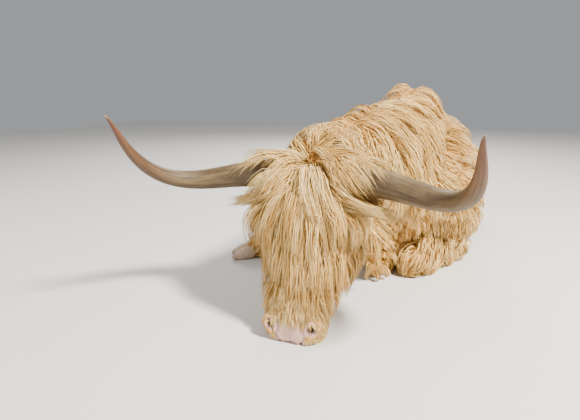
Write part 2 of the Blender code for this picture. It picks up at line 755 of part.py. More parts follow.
eyes = [ball("eye_left", 1, EYE_RADIUS, 2), ball("eye_right", -1, EYE_RADIUS, 2)]
horns = [horn("horn_left", 1, LEFT_HORN, LEFT_HORN_RADIUS),
         horn("horn_right", -1, RIGHT_HORN, RIGHT_HORN_RADIUS)]
ears = [ear("ear_left", 1), ear("ear_right", -1)]
claws = []
floor = box("Floor", (-2, -2, -1), (2, 2, 0))
for foot, end, heading, sole_up in FEET:
    for label, side in (("a", 1), ("b", -1)):
        piece = claw(f"claw_{foot}_{label}", end, heading, side, sole_up)
        boolean(piece, floor, "DIFFERENCE")
        claws.append(piece)
tail = loft("tail", TAIL, coat=TAIL_COAT_SHARE, sides=10)

long_tail_hair(tail)
boolean(tail, floor, "DIFFERENCE")
keep_largest(tail)

openings = [lid_opening(1), lid_opening(-1), nostril(1), nostril(-1), box("Mouth", *MOUTH_BOX, HEAD_MATRIX)]
for opening in openings:
    boolean(head, opening, "DIFFERENCE")
    bpy.data.objects.remove(opening)
for node in flesh:
    for solid in eyes + horns + ears + claws + [tail]:
        if reach_each_other(node, solid):
            cut_clear(node, solid)
    boolean(node, floor, "DIFFERENCE")
    keep_largest(node)
bpy.data.objects.remove(floor)
for leaf, side in zip(ears, (1, -1)):
    hollow_ear(leaf, side)
    fringe_ear(leaf, side, [head, neck, body])
tail_switch = part_off(tail, "tail_switch", [SWITCH_BOX], Matrix.Identity(4))
keep_largest(tail)

for node in flesh + ears + [tail, tail_switch]:
    paint(node, COAT_COLOR, 0.8)
for node in horns:
    paint(node, HORN_COLOR, 0.45)
for node in claws:
    paint(node, HOOF_COLOR, 0.5)
for node in eyes:
    paint(node, EYE_COLOR, 0.1)
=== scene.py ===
"""A highland cow lying on its chest, its head lowered and its muzzle on the ground.

One skin replaces the solids of flesh. Long hair lies over it in tufts of solid mesh, gathered into
locks. Metres, +Z up. The cow faces -Y, and its left side is +X.
"""

import math

import bpy
import numpy as np
from mathutils import Matrix, Vector
from mathutils.bvhtree import BVHTree


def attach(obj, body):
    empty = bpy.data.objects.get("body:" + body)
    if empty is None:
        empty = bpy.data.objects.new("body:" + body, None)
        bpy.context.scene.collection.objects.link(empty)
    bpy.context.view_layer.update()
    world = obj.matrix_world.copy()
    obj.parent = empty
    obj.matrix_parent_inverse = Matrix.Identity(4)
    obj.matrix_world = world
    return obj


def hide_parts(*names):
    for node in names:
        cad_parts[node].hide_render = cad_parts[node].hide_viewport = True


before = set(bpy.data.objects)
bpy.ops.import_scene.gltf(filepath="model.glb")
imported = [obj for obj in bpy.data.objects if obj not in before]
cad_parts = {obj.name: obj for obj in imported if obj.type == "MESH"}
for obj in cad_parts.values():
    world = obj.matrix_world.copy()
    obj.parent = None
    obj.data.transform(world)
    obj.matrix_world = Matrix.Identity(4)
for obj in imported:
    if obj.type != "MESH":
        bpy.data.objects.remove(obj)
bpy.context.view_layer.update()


def rings_of(*rows):
    """Rings given in millimetres: x, y, z, half width, half height and the coat's depth."""
    return [tuple(number / 1000 for number in row) for row in rows]


def mirrored(rings):
    """The same rings on the other side of the body."""
    return [(-ring[0], *ring[1:]) for ring in rings]


# The body's masses. HEAD and CHEEK are in the head's own frame, which is given below them

TRUNK = rings_of(
    (-20, -370, 340, 60, 90, 36), (-18, -335, 345, 110, 150, 40), (-12, -260, 355, 150, 220, 45),
    (-6, -150, 360, 178, 322, 54), (-4, -10, 345, 196, 418, 66), (-4, 130, 310, 208, 384, 56),
    (-22, 300, 290, 242, 322, 48), (-46, 500, 280, 270, 292, 46), (-70, 700, 273, 276, 278, 44),
    (-100, 870, 263, 250, 272, 42), (-128, 1010, 252, 208, 256, 34), (-146, 1090, 245, 148, 218, 32),
    (-154, 1130, 240, 80, 150, 30),
)
BRISKET = rings_of(
    (-64, -432, 150, 26, 110, 34), (-64, -385, 156, 42, 162, 36), (-54, -240, 160, 64, 185, 38),
    (-25, -80, 150, 90, 190, 30), (0, 100, 120, 110, 160, 30),
)
NECK = rings_of(
    (0, -80, 450, 150, 235, 55), (-50, -260, 450, 145, 222, 55), (-110, -400, 442, 140, 205, 55),
    (-165, -520, 428, 128, 188, 52), (-205, -610, 415, 115, 170, 50), (-230, -690, 405, 98, 148, 40),
    (-234, -745, 415, 80, 120, 34),
)
HEAD = rings_of(
    (0, 30, 54, 60, 30, 50), (0, 30, 30, 92, 58, 52), (0, 38, -20, 104, 80, 58), (0, 55, -85, 106, 98, 64),
    (0, 78, -145, 106, 116, 64), (0, 86, -200, 96, 122, 56), (0, 72, -265, 82, 104, 46),
    (0, 52, -330, 78, 84, 34), (0, 36, -390, 88, 72, 20), (0, 22, -440, 100, 68, 10),
    (0, 14, -482, 101, 62, 6), (0, 12, -514, 84, 48, 4),
)
CHEEK = rings_of(
    (66, 110, -60, 30, 50, 60), (70, 135, -120, 34, 66, 74), (68, 145, -180, 34, 66, 76),
    (58, 125, -240, 28, 52, 70), (54, 92, -310, 26, 40, 56), (52, 62, -370, 22, 32, 36),
)
SHOULDER = rings_of(
    (65, 35, 580, 38, 65, 46), (125, -60, 490, 62, 115, 44), (165, -160, 385, 74, 118, 40),
    (178, -235, 300, 72, 100, 36),
)
UPPER_ARM = rings_of(
    (185, -215, 320, 70, 90, 38), (215, -90, 240, 72, 95, 35), (238, 30, 160, 62, 80, 32),
)
LEFT_FOREARM = rings_of(
    (226, 55, 118, 54, 64, 32), (184, -85, 100, 54, 58, 36), (128, -212, 82, 48, 50, 36),
    (80, -292, 70, 45, 44, 34), (62, -322, 66, 34, 34, 30),
)
LEFT_CANNON = rings_of(
    (90, -288, 45, 36, 36, 22), (172, -155, 36, 32, 32, 22), (238, -35, 36, 36, 36, 22),
    (260, 20, 36, 32, 32, 16),
)
RIGHT_ARM = rings_of(
    (-185, -215, 320, 70, 90, 38), (-215, -90, 240, 72, 95, 35), (-238, -5, 175, 62, 80, 32),
)
RIGHT_FOREARM = rings_of(
    (-235, 10, 165, 62, 80, 32), (-330, -80, 140, 56, 66, 32), (-415, -162, 112, 48, 52, 30),
    (-468, -213, 95, 47, 48, 28), (-512, -250, 80, 36, 38, 26), (-562, -288, 66, 32, 34, 24),
    (-602, -314, 60, 37, 38, 20), (-632, -332, 50, 34, 36, 12),
)
RIGHT_HAUNCH = rings_of(
    (-160, 960, 380, 105, 135, 34), (-280, 840, 340, 118, 160, 34), (-385, 680, 275, 100, 135, 34),
    (-440, 560, 220, 78, 100, 32), (-455, 520, 200, 50, 70, 30),
)
RIGHT_GASKIN = rings_of(
    (-450, 550, 190, 60, 75, 30), (-475, 700, 140, 52, 66, 28), (-485, 840, 100, 43, 54, 26),
    (-485, 930, 80, 41, 48, 26), (-485, 970, 74, 32, 38, 24),
)
RIGHT_SHANK = rings_of(
    (-500, 930, 50, 38, 42, 22), (-530, 820, 42, 33, 34, 22), (-555, 720, 42, 33, 34, 22),
    (-567, 665, 45, 38, 38, 20), (-573, 625, 42, 34, 36, 12),
)
LEFT_HAUNCH = rings_of(
    (0, 960, 350, 105, 135, 34), (115, 850, 285, 120, 160, 34), (205, 700, 215, 102, 135, 34),
    (240, 590, 170, 80, 100, 32), (246, 545, 155, 55, 70, 30),
)
LEFT_GASKIN = rings_of(
    (246, 570, 130, 58, 72, 30), (262, 720, 100, 50, 62, 28), (248, 860, 80, 43, 52, 26),
    (228, 950, 70, 41, 46, 26), (218, 985, 66, 32, 38, 24),
)
LEFT_SHANK = rings_of(
    (240, 920, 44, 36, 38, 22), (254, 780, 42, 33, 34, 22), (260, 640, 42, 33, 34, 22),
    (262, 540, 42, 33, 34, 22), (264, 490, 45, 38, 38, 20), (266, 452, 42, 34, 36, 12),
)
TAIL = rings_of(
    (-110, 1095, 440, 26, 26, 10), (-125, 1170, 425, 26, 26, 12), (-140, 1215, 350, 22, 22, 14),
    (-160, 1225, 240, 19, 19, 18), (-190, 1230, 130, 17, 17, 26), (-240, 1232, 62, 15, 15, 34),
    (-320, 1225, 40, 13, 13, 40), (-420, 1200, 34, 11, 11, 40), (-510, 1165, 28, 10, 10, 30),
)

# The head's own frame: x to the cow's left, y into the skull, z up the face to the poll

HEAD_PLACE = Vector((-0.232, -0.745, 0.482))
HEAD_PITCH = math.radians(18.6)
HEAD_YAW = math.radians(1.2)
HEAD_MATRIX = (Matrix.Translation(HEAD_PLACE) @ Matrix.Rotation(HEAD_YAW, 4, "Z")
               @ Matrix.Rotation(-HEAD_PITCH, 4, "X"))
HEAD_TURN = np.array(HEAD_MATRIX.to_3x3())
UPRIGHT = Matrix.Identity(4)
SIDES = {"left": 1, "right": -1}

# The skin: how it is grown over the masses, and swellings of the face as place and size

BACK_PINCH = 0.36       # how much narrower the ridge of the back is than its middle
CHIN = ((0.0, 0.048, -0.482), (0.046, 0.030, 0.030))
FACE_LUMPS = {
    "Orbit": ((0.090, 0.014, -0.150), (0.028, 0.030, 0.028)),
    "NostrilWing": ((0.066, -0.022, -0.460), (0.030, 0.025, 0.030)),
    "Lip": ((0.040, -0.006, -0.500), (0.036, 0.030, 0.018)),
}
SKIN_VOXEL = 0.0090
SKIN_FLOOR = 0.0015     # the lowest that the skin's own shape reaches
SKIN_ROUNDS = 6         # of smoothing all over
BODY_ROUNDS = 24        # and again, off the head
HEAD_REACH = (0.17, 0.20, 0.09)
MUZZLE_TOP = -0.405
FINE_CUTS = 3

# Horns: a smooth curve each through the head's frame, x outwards on its own side

HORNS = {
    "left": [(0.092, 0.000, -0.006), (0.275, 0.028, 0.030), (0.450, 0.035, -0.103),
             (0.530, -0.172, -0.102), (0.438, -0.335, 0.048), (0.456, -0.384, 0.056)],
    "right": [(0.092, 0.000, -0.006), (0.275, 0.028, 0.032), (0.450, 0.035, -0.099),
              (0.540, -0.172, -0.096), (0.445, -0.335, 0.062), (0.466, -0.384, 0.078)],
}
HORN_RADIUS = {"left": 0.052, "right": 0.048}
HORN_TAPER = 0.85
HORN_TIP_RADIUS = 0.0022
HORN_TIP_CLOSING = 0.45
HORN_OVAL = (1.03, 0.97)
HORN_RIPPLE = 0.012
HORN_CLEARANCE = 0.014  # height of the hair over a horn's root
HORN_STEPS = 90
HORN_SIDES = 28

# Eyes, nostrils and mouth, in the head's frame

EYE_PLACE = Vector((0.092, 0.012, -0.150))
EYE_AIM = Vector((0.90, -0.43, 0.05))
EYE_RADIUS = 0.0205
EYE_SLIT = (0.0165, 0.0105)     # half its width and half its height
EYE_ROOM = 0.052                # how far round an eye the skin is fine
CORNEA_RISE = 0.0012
LID_THICKNESS = 0.0042
SOCKET_DEPTH = 0.006
NOSTRIL_PLACE = Vector((0.063, -0.037, -0.462))
NOSTRIL_AIM = Vector((0.62, -0.76, -0.20))
NOSTRIL_LONG = (0.45, 0.15, 0.88)
NOSTRIL_SIZE = (0.019, 0.0105)
NOSTRIL_BEND = 9.0
NOSTRIL_DEPTH = 0.024
# how far the painted shade inside a nostril reaches, as half widths along the head's three axes
NOSTRIL_SHADE_REACH = np.array([0.016, 0.022, 0.020])
NOSTRIL_RIM = 0.0042
NOSE_EDGE = ([-0.520, -0.492, -0.466, -0.440], [0.034, 0.050, 0.068, 0.062])    # height, half width
NOSE_CREASE = ((0.060, -0.480), (0.032, -0.514))
CREASE_DEPTH = 0.0045
CREASE_FOLD = 0.0020
MOUTH_LINE = 0.0200
MOUTH_DEPTH = 0.0085
LIP_ROLL = 0.0025
LIP_GROOVE = 0.0030

# Ears: rings from root to tip, as distance, half width, half depth

EAR_ROOT = Vector((0.092, 0.082, -0.050))
EAR_AIM = Vector((0.62, 0.58, -0.53)).normalized()
EAR_FACING = Vector((0.75, -0.62, -0.10))
EAR_RINGS = [(0.000, 0.016, 0.015), (0.028, 0.024, 0.017), (0.065, 0.042, 0.016), (0.110, 0.048, 0.012),
             (0.150, 0.036, 0.009), (0.178, 0.018, 0.006), (0.190, 0.005, 0.003)]
EAR_ALONG, EAR_WIDTH, EAR_DEPTH = zip(*EAR_RINGS)
EAR_LOCKS = 260
EAR_TUFTS = 7
EAR_HAIR = (0.014, 0.0024, 0.0015)      # width of a lock, width of a tuft, wave

# Claws: rings from heel to toe, as distance, height of centre, half width, half height

CLAW_RINGS = [(0.000, 0.030, 0.011, 0.020), (0.014, 0.031, 0.019, 0.031), (0.048, 0.028, 0.0210, 0.030),
              (0.078, 0.019, 0.0185, 0.022), (0.098, 0.011, 0.0130, 0.013), (0.107, 0.007, 0.0060, 0.007)]
CLAW_TALL = CLAW_RINGS[0][1] * 2
CLAW_LONG = CLAW_RINGS[-1][0]
CLAW_OFFSET = 0.0222
CLAW_SPLAY = math.radians(5)
CLAW_SINK = 0.026
FEET = [
    ("fore_right", (-0.644, -0.340), (-0.86, -0.51), False),
    ("fore_left", (0.260, 0.020), (0.38, 0.92), True),
    ("hind_right", (-0.573, 0.625), (-0.15, -0.99), False),
    ("hind_left", (0.266, 0.452), (0.04, -1.00), False),
]

# Hair, by the part of the body: length, width of a lock, width of a tuft, space between locks, wave,
# bend, least and most lift as shares of the coat's depth, how closely it clings, how far it droops, and
# how much paler than the rest it is

HAIR = {
    "trunk": (0.125, 0.054, 0.0036, 0.0260, 0.0026, 0.09, 0.35, 0.85, 0.60, 0.35, 0.0),
    "neck": (0.145, 0.050, 0.0034, 0.0230, 0.0022, 0.08, 0.35, 0.90, 0.60, 0.40, 0.0),
    "head": (0.195, 0.042, 0.0026, 0.0175, 0.0024, 0.12, 0.40, 1.20, 0.20, 0.45, 0.0),
    "foreleg": (0.105, 0.040, 0.0034, 0.0195, 0.0022, 0.14, 0.35, 0.95, 0.50, 0.50, 0.0),
    "haunch": (0.120, 0.054, 0.0046, 0.0300, 0.0035, 0.14, 0.45, 1.10, 0.50, 0.30, 0.0),
    "shank": (0.060, 0.028, 0.0042, 0.0210, 0.0020, 0.16, 0.40, 1.00, 0.50, 0.20, 0.0),
    "tail": (0.060, 0.020, 0.0034, 0.0150, 0.0020, 0.16, 0.40, 1.00, 0.50, 0.20, 0.0),
}
LENGTH, LOCK, TUFT, SPACE, WAVE, BEND, LOW, HIGH, CLING, DROOP, PALE = range(11)
KINDS = list(HAIR)
FORMS = {
    "trunk": [TRUNK + BRISKET],
    "neck": [NECK[:-1]],
    "head": [HEAD + CHEEK],
    "foreleg": [LEFT_FOREARM, LEFT_CANNON, RIGHT_FOREARM],
    "haunch": [LEFT_HAUNCH, RIGHT_HAUNCH],
    "shank": [LEFT_GASKIN, LEFT_SHANK, RIGHT_GASKIN, RIGHT_SHANK],
    "tail": [TAIL],
}

# How the head's hair changes with height on the face, as shares of its row above, then how pale it is
# and how widely it fans out

FACE_HAIR = {
    LENGTH: ([-0.50, -0.44, -0.38, -0.28, -0.10, 0.05], [0.14, 0.19, 0.33, 0.58, 0.95, 1.15]),
    LOCK: ([-0.46, -0.38, -0.20], [0.17, 0.55, 1.0]),
    TUFT: ([-0.46, -0.38, -0.20], [0.48, 0.75, 1.0]),
    SPACE: ([-0.46, -0.38, -0.20], [0.42, 0.75, 1.0]),
    WAVE: ([-0.46, -0.30], [0.25, 1.0]),
    DROOP: ([-0.40, -0.20], [0.2, 1.0]),
}
FACE_PALE = ([-0.44, -0.38, -0.30, -0.15, 0.0], [0.22, 0.08, -0.06, 0.0, 0.10])
FACE_FAN = ([-0.46, -0.37, -0.31, -0.22, -0.12, 0.03], [5.5, 4.5, 0.5, 1.6, 3.0, 9.0])

# How much more or less of each value some places have, and how much paler or deeper they are

PLACE_HAIR = {
    "muzzle_side": {LENGTH: -0.40, LOW: -0.7, HIGH: -0.7},
    "hump": {LENGTH: 0.50, BEND: -0.5, WAVE: -0.4, LOCK: -0.25, TUFT: -0.20},
    "breast": {LENGTH: -0.62, LOCK: -0.50},
    "flank": {WAVE: 1.6, LENGTH: -0.35, LOCK: -0.20},
    "switch": {LENGTH: 1.8},
}
PLACE_PALE = {"breast": -0.10, "flank": 0.12}

# The line that the hair parts along, from the nape to the rump, as x and y, and the whorl on the poll

CREST = [(-0.205, -0.610), (-0.165, -0.520), (-0.110, -0.400), (-0.050, -0.260), (0.000, -0.080),
         (0.000, 0.130), (-0.046, 0.500), (-0.100, 0.870), (-0.146, 1.060)]
WHORL = np.array((0.0, -0.020, 0.050))
WHORL_REACH = 0.090

# Locks and tufts: for each piece of the coat, its parts of the body and the tufts in a lock

COAT = {
    "coat_head": (["head"], 13),
    "coat_neck": (["neck"], 13),
    "coat_trunk": (["trunk"], 11),
    "coat_legs": (["foreleg", "shank", "haunch"], 8),
    "coat_tail": (["tail"], 9),
}
CREST_FALL = 1.1        # how strongly the hair falls away from the crest
FORM_ROUNDS = 25        # of evening out where parts of the body meet
FLOW_ROUNDS = 6
ROOT_TRIES = 5.0        # places tried for each that there is room for
CROWN_TUFTS = 16
CROWN_SPACE = 0.50      # of the space between the head's other locks
CROWN_GATHER = 0.3
COAT_SEED = 11
TUFT_SHAPE = np.array([0.8, 1.0, 1.0, 0.85, 0.5, 0.0])
TUFT_STEPS = len(TUFT_SHAPE)
ROUTE_STEPS = 9
ROOT_DEPTH = 0.008
TURN_IN = 0.55          # how soon a lock turns to the lie of the hair
LOCK_SWAY = 2.6         # how many radians of a wave a lock's bend runs through
AIM_STRENGTH = 2.6      # how firmly a lock of the crown sets out its own way
AIM_FADE = 1.7          # and how soon it gives that up
LIFT_RATE = 6.0         # how soon it rises to its height
ROOT_SHARE = 0.35       # of its height that is set at its root
STRETCH = (0.75, 1.15)
TUFT_REACH = (0.70, 1.04)
LOOSE_REACH = 1.10
TUFT_DRIFT = 0.10
TUFT_TWIST = 0.9
TUFT_GIRTH = (0.7, 1.25)
WAVES = (1.2, 2.0)
LOCK_GATHER = 0.42      # how far the tufts of a lock draw together
LOCK_THICKNESS = 0.30   # of its width
LOOSE_SHARE = 0.04
FLOOR_ROOM = 0.006
HAIRS_PER_TUFT = 6.0
HAIR_CHANGES = 2.5      # how often a hair's colour changes along it
PATCH = 0.003
PIECE_TRIANGLES = 190000

# Colours

HAIR_DEEP = (0.210, 0.085, 0.012)
HAIR_MID = (0.760, 0.425, 0.100)
HAIR_PALE = (1.000, 0.780, 0.370)
# the darkest fur of the hide under the hair: an undercoat colour, and painted shade in the gaps between the
# tufts
UNDERCOAT_AND_GAP_SHADE = (0.480, 0.250, 0.065)
# the dark skin round the eyes, also used as painted shade inside the nostrils
SKIN_DARK_AND_NOSTRIL_SHADE = (0.060, 0.030, 0.022)
NOSE_PALE = (0.800, 0.530, 0.430)
NOSE_DEEP = (0.600, 0.330, 0.250)
HORN_BROWN = (0.075, 0.046, 0.021)
HORN_PALE = (0.200, 0.136, 0.066)
HORN_STREAK = (0.050, 0.032, 0.018)
HORN_RED = (0.190, 0.080, 0.038)
HORN_DARK = (0.050, 0.024, 0.014)
HORN_POINT = (0.260, 0.190, 0.130)
HOOF_DEEP = (0.430, 0.290, 0.190)
HOOF_PALE = (0.720, 0.580, 0.430)
HOOF_TOE = (0.300, 0.180, 0.110)
IRIS_DARK = (0.030, 0.014, 0.007)
IRIS_LIGHT = (0.075, 0.036, 0.016)
PUPIL = (0.003, 0.003, 0.004)
EYE_WHITE = (0.230, 0.170, 0.140)
FLOOR_TINTS = (0.66, 0.65, 0.63), (0.70, 0.69, 0.67)

# Camera and lights: name, place, target, size, power, colour

CAMERA_PLACE = Vector((0.15456, -1.9872, 0.74336))
CAMERA_AIM = Vector((-0.342, 0.9397, 0.0))
FOCAL_PIXELS = 420
PICTURE_WIDTH = 580
PIXELS_DOWN = 120       # how far below the picture's horizon the camera points
SENSOR = 36.0
LIGHTS = [
    ("key", (2.5, -1.6, 3.7), (-0.1, -0.3, 0.3), 0.6, 780, (1.0, 0.955, 0.86)),
    ("fill", (-3.2, -2.6, 2.0), (-0.1, -0.3, 0.3), 3.0, 100, (0.98, 0.98, 1.0)),
    ("rim", (-1.2, 3.4, 3.0), (0.0, 0.2, 0.4), 1.8, 170, (1.0, 0.96, 0.88)),
]
SKY_COLOR = (0.94, 0.96, 1.0, 1.0)
SKY_STRENGTH = 0.38


# Modelling

def deselect():
    bpy.ops.object.select_all(action="DESELECT")


def choose(piece):
    """Make a piece the only one selected, and active."""
    deselect()
    piece.select_set(True)
    bpy.context.view_layer.objects.active = piece


def start_editing(piece, action):
    """Open a piece in edit mode, with all of it selected or none."""
    choose(piece)
    bpy.ops.object.mode_set(mode="EDIT")
    bpy.ops.mesh.select_all(action=action)


def stop_editing():
    bpy.ops.object.mode_set(mode="OBJECT")


def finish_with(piece, kind, **settings):
    """Add a modifier to a piece and apply it."""
    choose(piece)
    modifier = piece.modifiers.new(kind.title(), kind)
    for name, value in settings.items():
        setattr(modifier, name, value)
    bpy.ops.object.modifier_apply(modifier=modifier.name)


def join(name, pieces):
    """Several pieces become one."""
    deselect()
    for piece in pieces:
        piece.select_set(True)
    bpy.context.view_layer.objects.active = pieces[0]
    bpy.ops.object.join()
    pieces[0].name = name
    return pieces[0]


def form(name, rings, up=(0, 0, 1), sides=24, place=UPRIGHT):
    """A closed mass: a circle at each ring's size and place, bridged from end to end."""
    centres = [Vector(ring[:3]) for ring in rings]
    deselect()
    bpy.ops.object.add(type="MESH", enter_editmode=True, location=(0, 0, 0))
    mass = bpy.context.object
    mass.name = name
    for i, (centre, ring) in enumerate(zip(centres, rings)):
        ahead = way_ahead(centres, i)
        side = ahead.cross(Vector(up)).normalized()
        rise = side.cross(ahead).normalized()
        turn = place.to_3x3() @ Matrix((side, rise, -ahead)).transposed()
        bpy.ops.mesh.primitive_circle_add(vertices=sides, radius=1.0, location=place @ centre,
                                          rotation=turn.to_euler())
        bpy.ops.transform.resize(value=(ring[3], ring[4], 1.0), orient_type="GLOBAL", orient_matrix=turn,
                                 orient_matrix_type="GLOBAL", center_override=place @ centre)
    bpy.ops.mesh.select_all(action="SELECT")
    bpy.ops.mesh.bridge_edge_loops()
    bpy.ops.mesh.select_all(action="SELECT")
    bpy.ops.mesh.fill_holes(sides=0)
    bpy.ops.mesh.normals_make_consistent(inside=False)
    stop_editing()
    return mass


def way_ahead(centres, i):
    """The way that a chain of centres runs at one of them."""
    return (centres[min(i + 1, len(centres) - 1)] - centres[max(i - 1, 0)]).normalized()


def lump(name, place, radii):
    """A rounded swelling of the head."""
    deselect()
    bpy.ops.mesh.primitive_ico_sphere_add(subdivisions=3, radius=1.0, location=HEAD_MATRIX @ Vector(place),
                                          rotation=HEAD_MATRIX.to_euler(), scale=radii)
    bpy.ops.object.transform_apply(location=True, rotation=True, scale=True)
    bpy.context.object.name = name
    return bpy.context.object


def read(items, field, width, kind=float):
    """A value of each point, edge, triangle or corner of a mesh, in a row each."""
    values = np.empty(len(items) * width, kind)
    items.foreach_get(field, values)
    return values.reshape(-1, width)


def points_of(piece):
    return read(piece.data.vertices, "co", 3)


def normals_of(piece):
    return read(piece.data.vertices, "normal", 3)


def triangles_of(piece):
    """The points of each of a piece's triangles, and its corners."""
    piece.data.calc_loop_triangles()
    triangles = piece.data.loop_triangles
    return read(triangles, "vertices", 3, np.int32), read(triangles, "loops", 3, np.int32)


def unwrap_of(piece):
    """Each corner's place on a piece's unwrap."""
    return read(piece.data.uv_layers.active.data, "uv", 2)


def place_points(piece, points):
    piece.data.vertices.foreach_set("co", np.ascontiguousarray(points, np.float32).ravel())
    piece.data.update()


def store(piece, name, kind, values):
    """Keep a value for each point of a piece, for its material."""
    attribute = piece.data.attributes.new(name, kind, "POINT")
    key = "vector" if kind == "FLOAT_VECTOR" else "value"
    attribute.data.foreach_set(key, np.ascontiguousarray(values, np.float32).ravel())


def smooth(piece):
    piece.data.polygons.foreach_set("use_smooth", np.ones(len(piece.data.polygons), bool))
    piece.data.update()


def smooth_step(low, high, value):
    t = np.clip((value - low) / (high - low), 0.0, 1.0)
    return t * t * (3 - 2 * t)


def bell(value, width):
    """1 where a value is 0, falling off on both sides of it."""
    return np.exp(-(value / width) ** 2)


def unit(ways):
    """Each way at length 1."""
    return ways / np.maximum(np.linalg.norm(ways, axis=-1, keepdims=True), 1e-6)


def laid_on(ways, normals):
    """Each way turned to run along the skin."""
    return unit(ways - normals * (ways * normals).sum(axis=1)[:, None])


def areas_of(points, faces):
    a, b, c = (points[faces[:, k]] for k in range(3))
    return 0.5 * np.linalg.norm(np.cross(b - a, c - a), axis=1)


def into_head(points):
    """Points of the body in the head's own frame."""
    return (points - np.array(HEAD_PLACE)) @ HEAD_TURN


def on_side(vector, side):
    """A place or way given for the left, on the side that is asked for."""
    return Vector((side * vector.x, vector.y, vector.z))


def from_place(local, place, side):
    """How far, and which way, points of the head lie from a place on one side of it."""
    return local - np.array(on_side(place, side))


def unwrap(piece):
    """Lay the skin out flat, each region by its own facing."""
    start_editing(piece, "SELECT")
    bpy.ops.uv.smart_project(angle_limit=math.radians(66), island_margin=0.002)
    stop_editing()


def subdivide_where(piece, chosen, cuts):
    """Finer faces where a test on their centres, in the head's frame, holds."""
    mask = chosen(into_head(read(piece.data.polygons, "center", 3)))
    choose(piece)
    bpy.ops.object.mode_set(mode="EDIT")
    bpy.ops.mesh.select_mode(type="FACE")
    bpy.ops.mesh.select_all(action="DESELECT")
    stop_editing()
    piece.data.polygons.foreach_set("select", mask)
    bpy.ops.object.mode_set(mode="EDIT")
    bpy.ops.mesh.subdivide(number_cuts=cuts, smoothness=1.0)
    bpy.ops.mesh.select_all(action="DESELECT")
    stop_editing()


# The skin

def make_trunk():
    """The trunk, narrower towards the ridge of its back."""
    trunk = form("Trunk", TRUNK)
    points = points_of(trunk)
    columns = list(zip(*TRUNK))
    middle, height, tall = (np.interp(points[:, 1], columns[1], columns[k]) for k in (0, 2, 4))
    over = np.clip((points[:, 2] - height) / tall, -1, 1)
    points[:, 0] = middle + (points[:, 0] - middle) * (1 - BACK_PINCH * over)
    place_points(trunk, points)
    return trunk


def make_hide():
    """The skin, without its fine features: masses joined and grown into one."""
    on_face = {"up": (0, -1, 0), "place": HEAD_MATRIX}
    on_shoulder = {"up": (1, 0, 0)}
    masses = [
        make_trunk(),
        form("Brisket", BRISKET),
        form("Neck", NECK),
        form("Head", HEAD, **on_face),
        form("LeftCheek", CHEEK, **on_face),
        form("RightCheek", mirrored(CHEEK), **on_face),
        form("LeftShoulder", SHOULDER, **on_shoulder),
        form("RightShoulder", mirrored(SHOULDER), **on_shoulder),
        form("LeftArm", UPPER_ARM),
        form("RightArm", RIGHT_ARM),
        form("LeftForearm", LEFT_FOREARM),
        form("LeftCannon", LEFT_CANNON),
        form("RightForearm", RIGHT_FOREARM),
        form("RightHaunch", RIGHT_HAUNCH),
        form("RightGaskin", RIGHT_GASKIN),
        form("RightShank", RIGHT_SHANK),
        form("LeftHaunch", LEFT_HAUNCH),
        form("LeftGaskin", LEFT_GASKIN),
        form("LeftShank", LEFT_SHANK),
        form("Tail", TAIL, sides=12),
        lump("Chin", *CHIN),
    ]
    for side in SIDES.values():
        masses += [lump(name, (side * x, y, z), size) for name, ((x, y, z), size) in FACE_LUMPS.items()]
    hide = join("hide", masses)
    finish_with(hide, "REMESH", mode="VOXEL", voxel_size=SKIN_VOXEL)
    body = hide.vertex_groups.new(name="Body")
    x, y, z = into_head(points_of(hide)).T
    on_head = (np.abs(x) < HEAD_REACH[0]) & (y < HEAD_REACH[1]) & (z < HEAD_REACH[2])
    body.add([int(k) for k in np.flatnonzero(~on_head)], 1.0, "REPLACE")
    finish_with(hide, "SMOOTH", factor=0.5, iterations=SKIN_ROUNDS)
    finish_with(hide, "SMOOTH", factor=0.5, iterations=BODY_ROUNDS, vertex_group="Body")
    hide.vertex_groups.clear()
    start_editing(hide, "SELECT")
    bpy.ops.mesh.bisect(plane_co=(0, 0, SKIN_FLOOR), plane_no=(0, 0, 1), use_fill=True, clear_inner=True)
    bpy.ops.mesh.select_all(action="DESELECT")
    stop_editing()
    return hide


def nose_pad(local):
    """1 on the bare skin of the nose and lips, 0 on the rest of the body."""
    x, y, z = local.T
    width = np.interp(z, *NOSE_EDGE)
    width = width + 0.004 * np.sin(170 * z) + 0.003 * np.sin(61 * y + 230 * z)    # an uneven edge
    pad = smooth_step(-0.432, -0.446, z) * (1 - smooth_step(width, width + 0.008, np.abs(x)))
    pad *= 1 - smooth_step(0.014, 0.026, y)
    for side in SIDES.values():
        reach = np.linalg.norm(from_place(local, NOSTRIL_PLACE, side), axis=1)
        pad = np.maximum(pad, 1 - smooth_step(0.019, 0.025, reach))
    return pad * (y > -0.15) * (z > -0.60)


def dark_skin_and_nostril_shade(local):
    """1 where the hide is dark: painted shade inside the nostrils, and the dark skin round the eyes."""
    dark = np.zeros(len(local))
    for side in SIDES.values():
        # painted shade in the nostril's hollow
        deep = np.linalg.norm(from_place(local, NOSTRIL_PLACE, side) / NOSTRIL_SHADE_REACH, axis=1)
        dark = np.maximum(dark, 0.92 * (1 - smooth_step(0.45, 0.95, deep)))
        reach = np.linalg.norm(from_place(local, EYE_PLACE, side), axis=1)
        dark = np.maximum(dark, 1 - smooth_step(0.022, 0.030, reach))
    return dark


def near_features(local):
    """Where the face needs fine skin: the muzzle and round the eyes."""
    x, y, z = local.T
    near = (z < MUZZLE_TOP) & (np.abs(x) < 0.12) & (y < 0.10) & (z > -0.60)
    for side in SIDES.values():
        near |= np.linalg.norm(from_place(local, EYE_PLACE, side), axis=1) < EYE_ROOM
    return near


def segment_distance(x, z, start, end):
    """How far points of a plane are from a straight line between two places."""
    ahead = np.array(end) - np.array(start)
    share = np.clip(((x - start[0]) * ahead[0] + (z - start[1]) * ahead[1]) / (ahead @ ahead), 0, 1)
    return np.hypot(x - start[0] - share * ahead[0], z - start[1] - share * ahead[1])


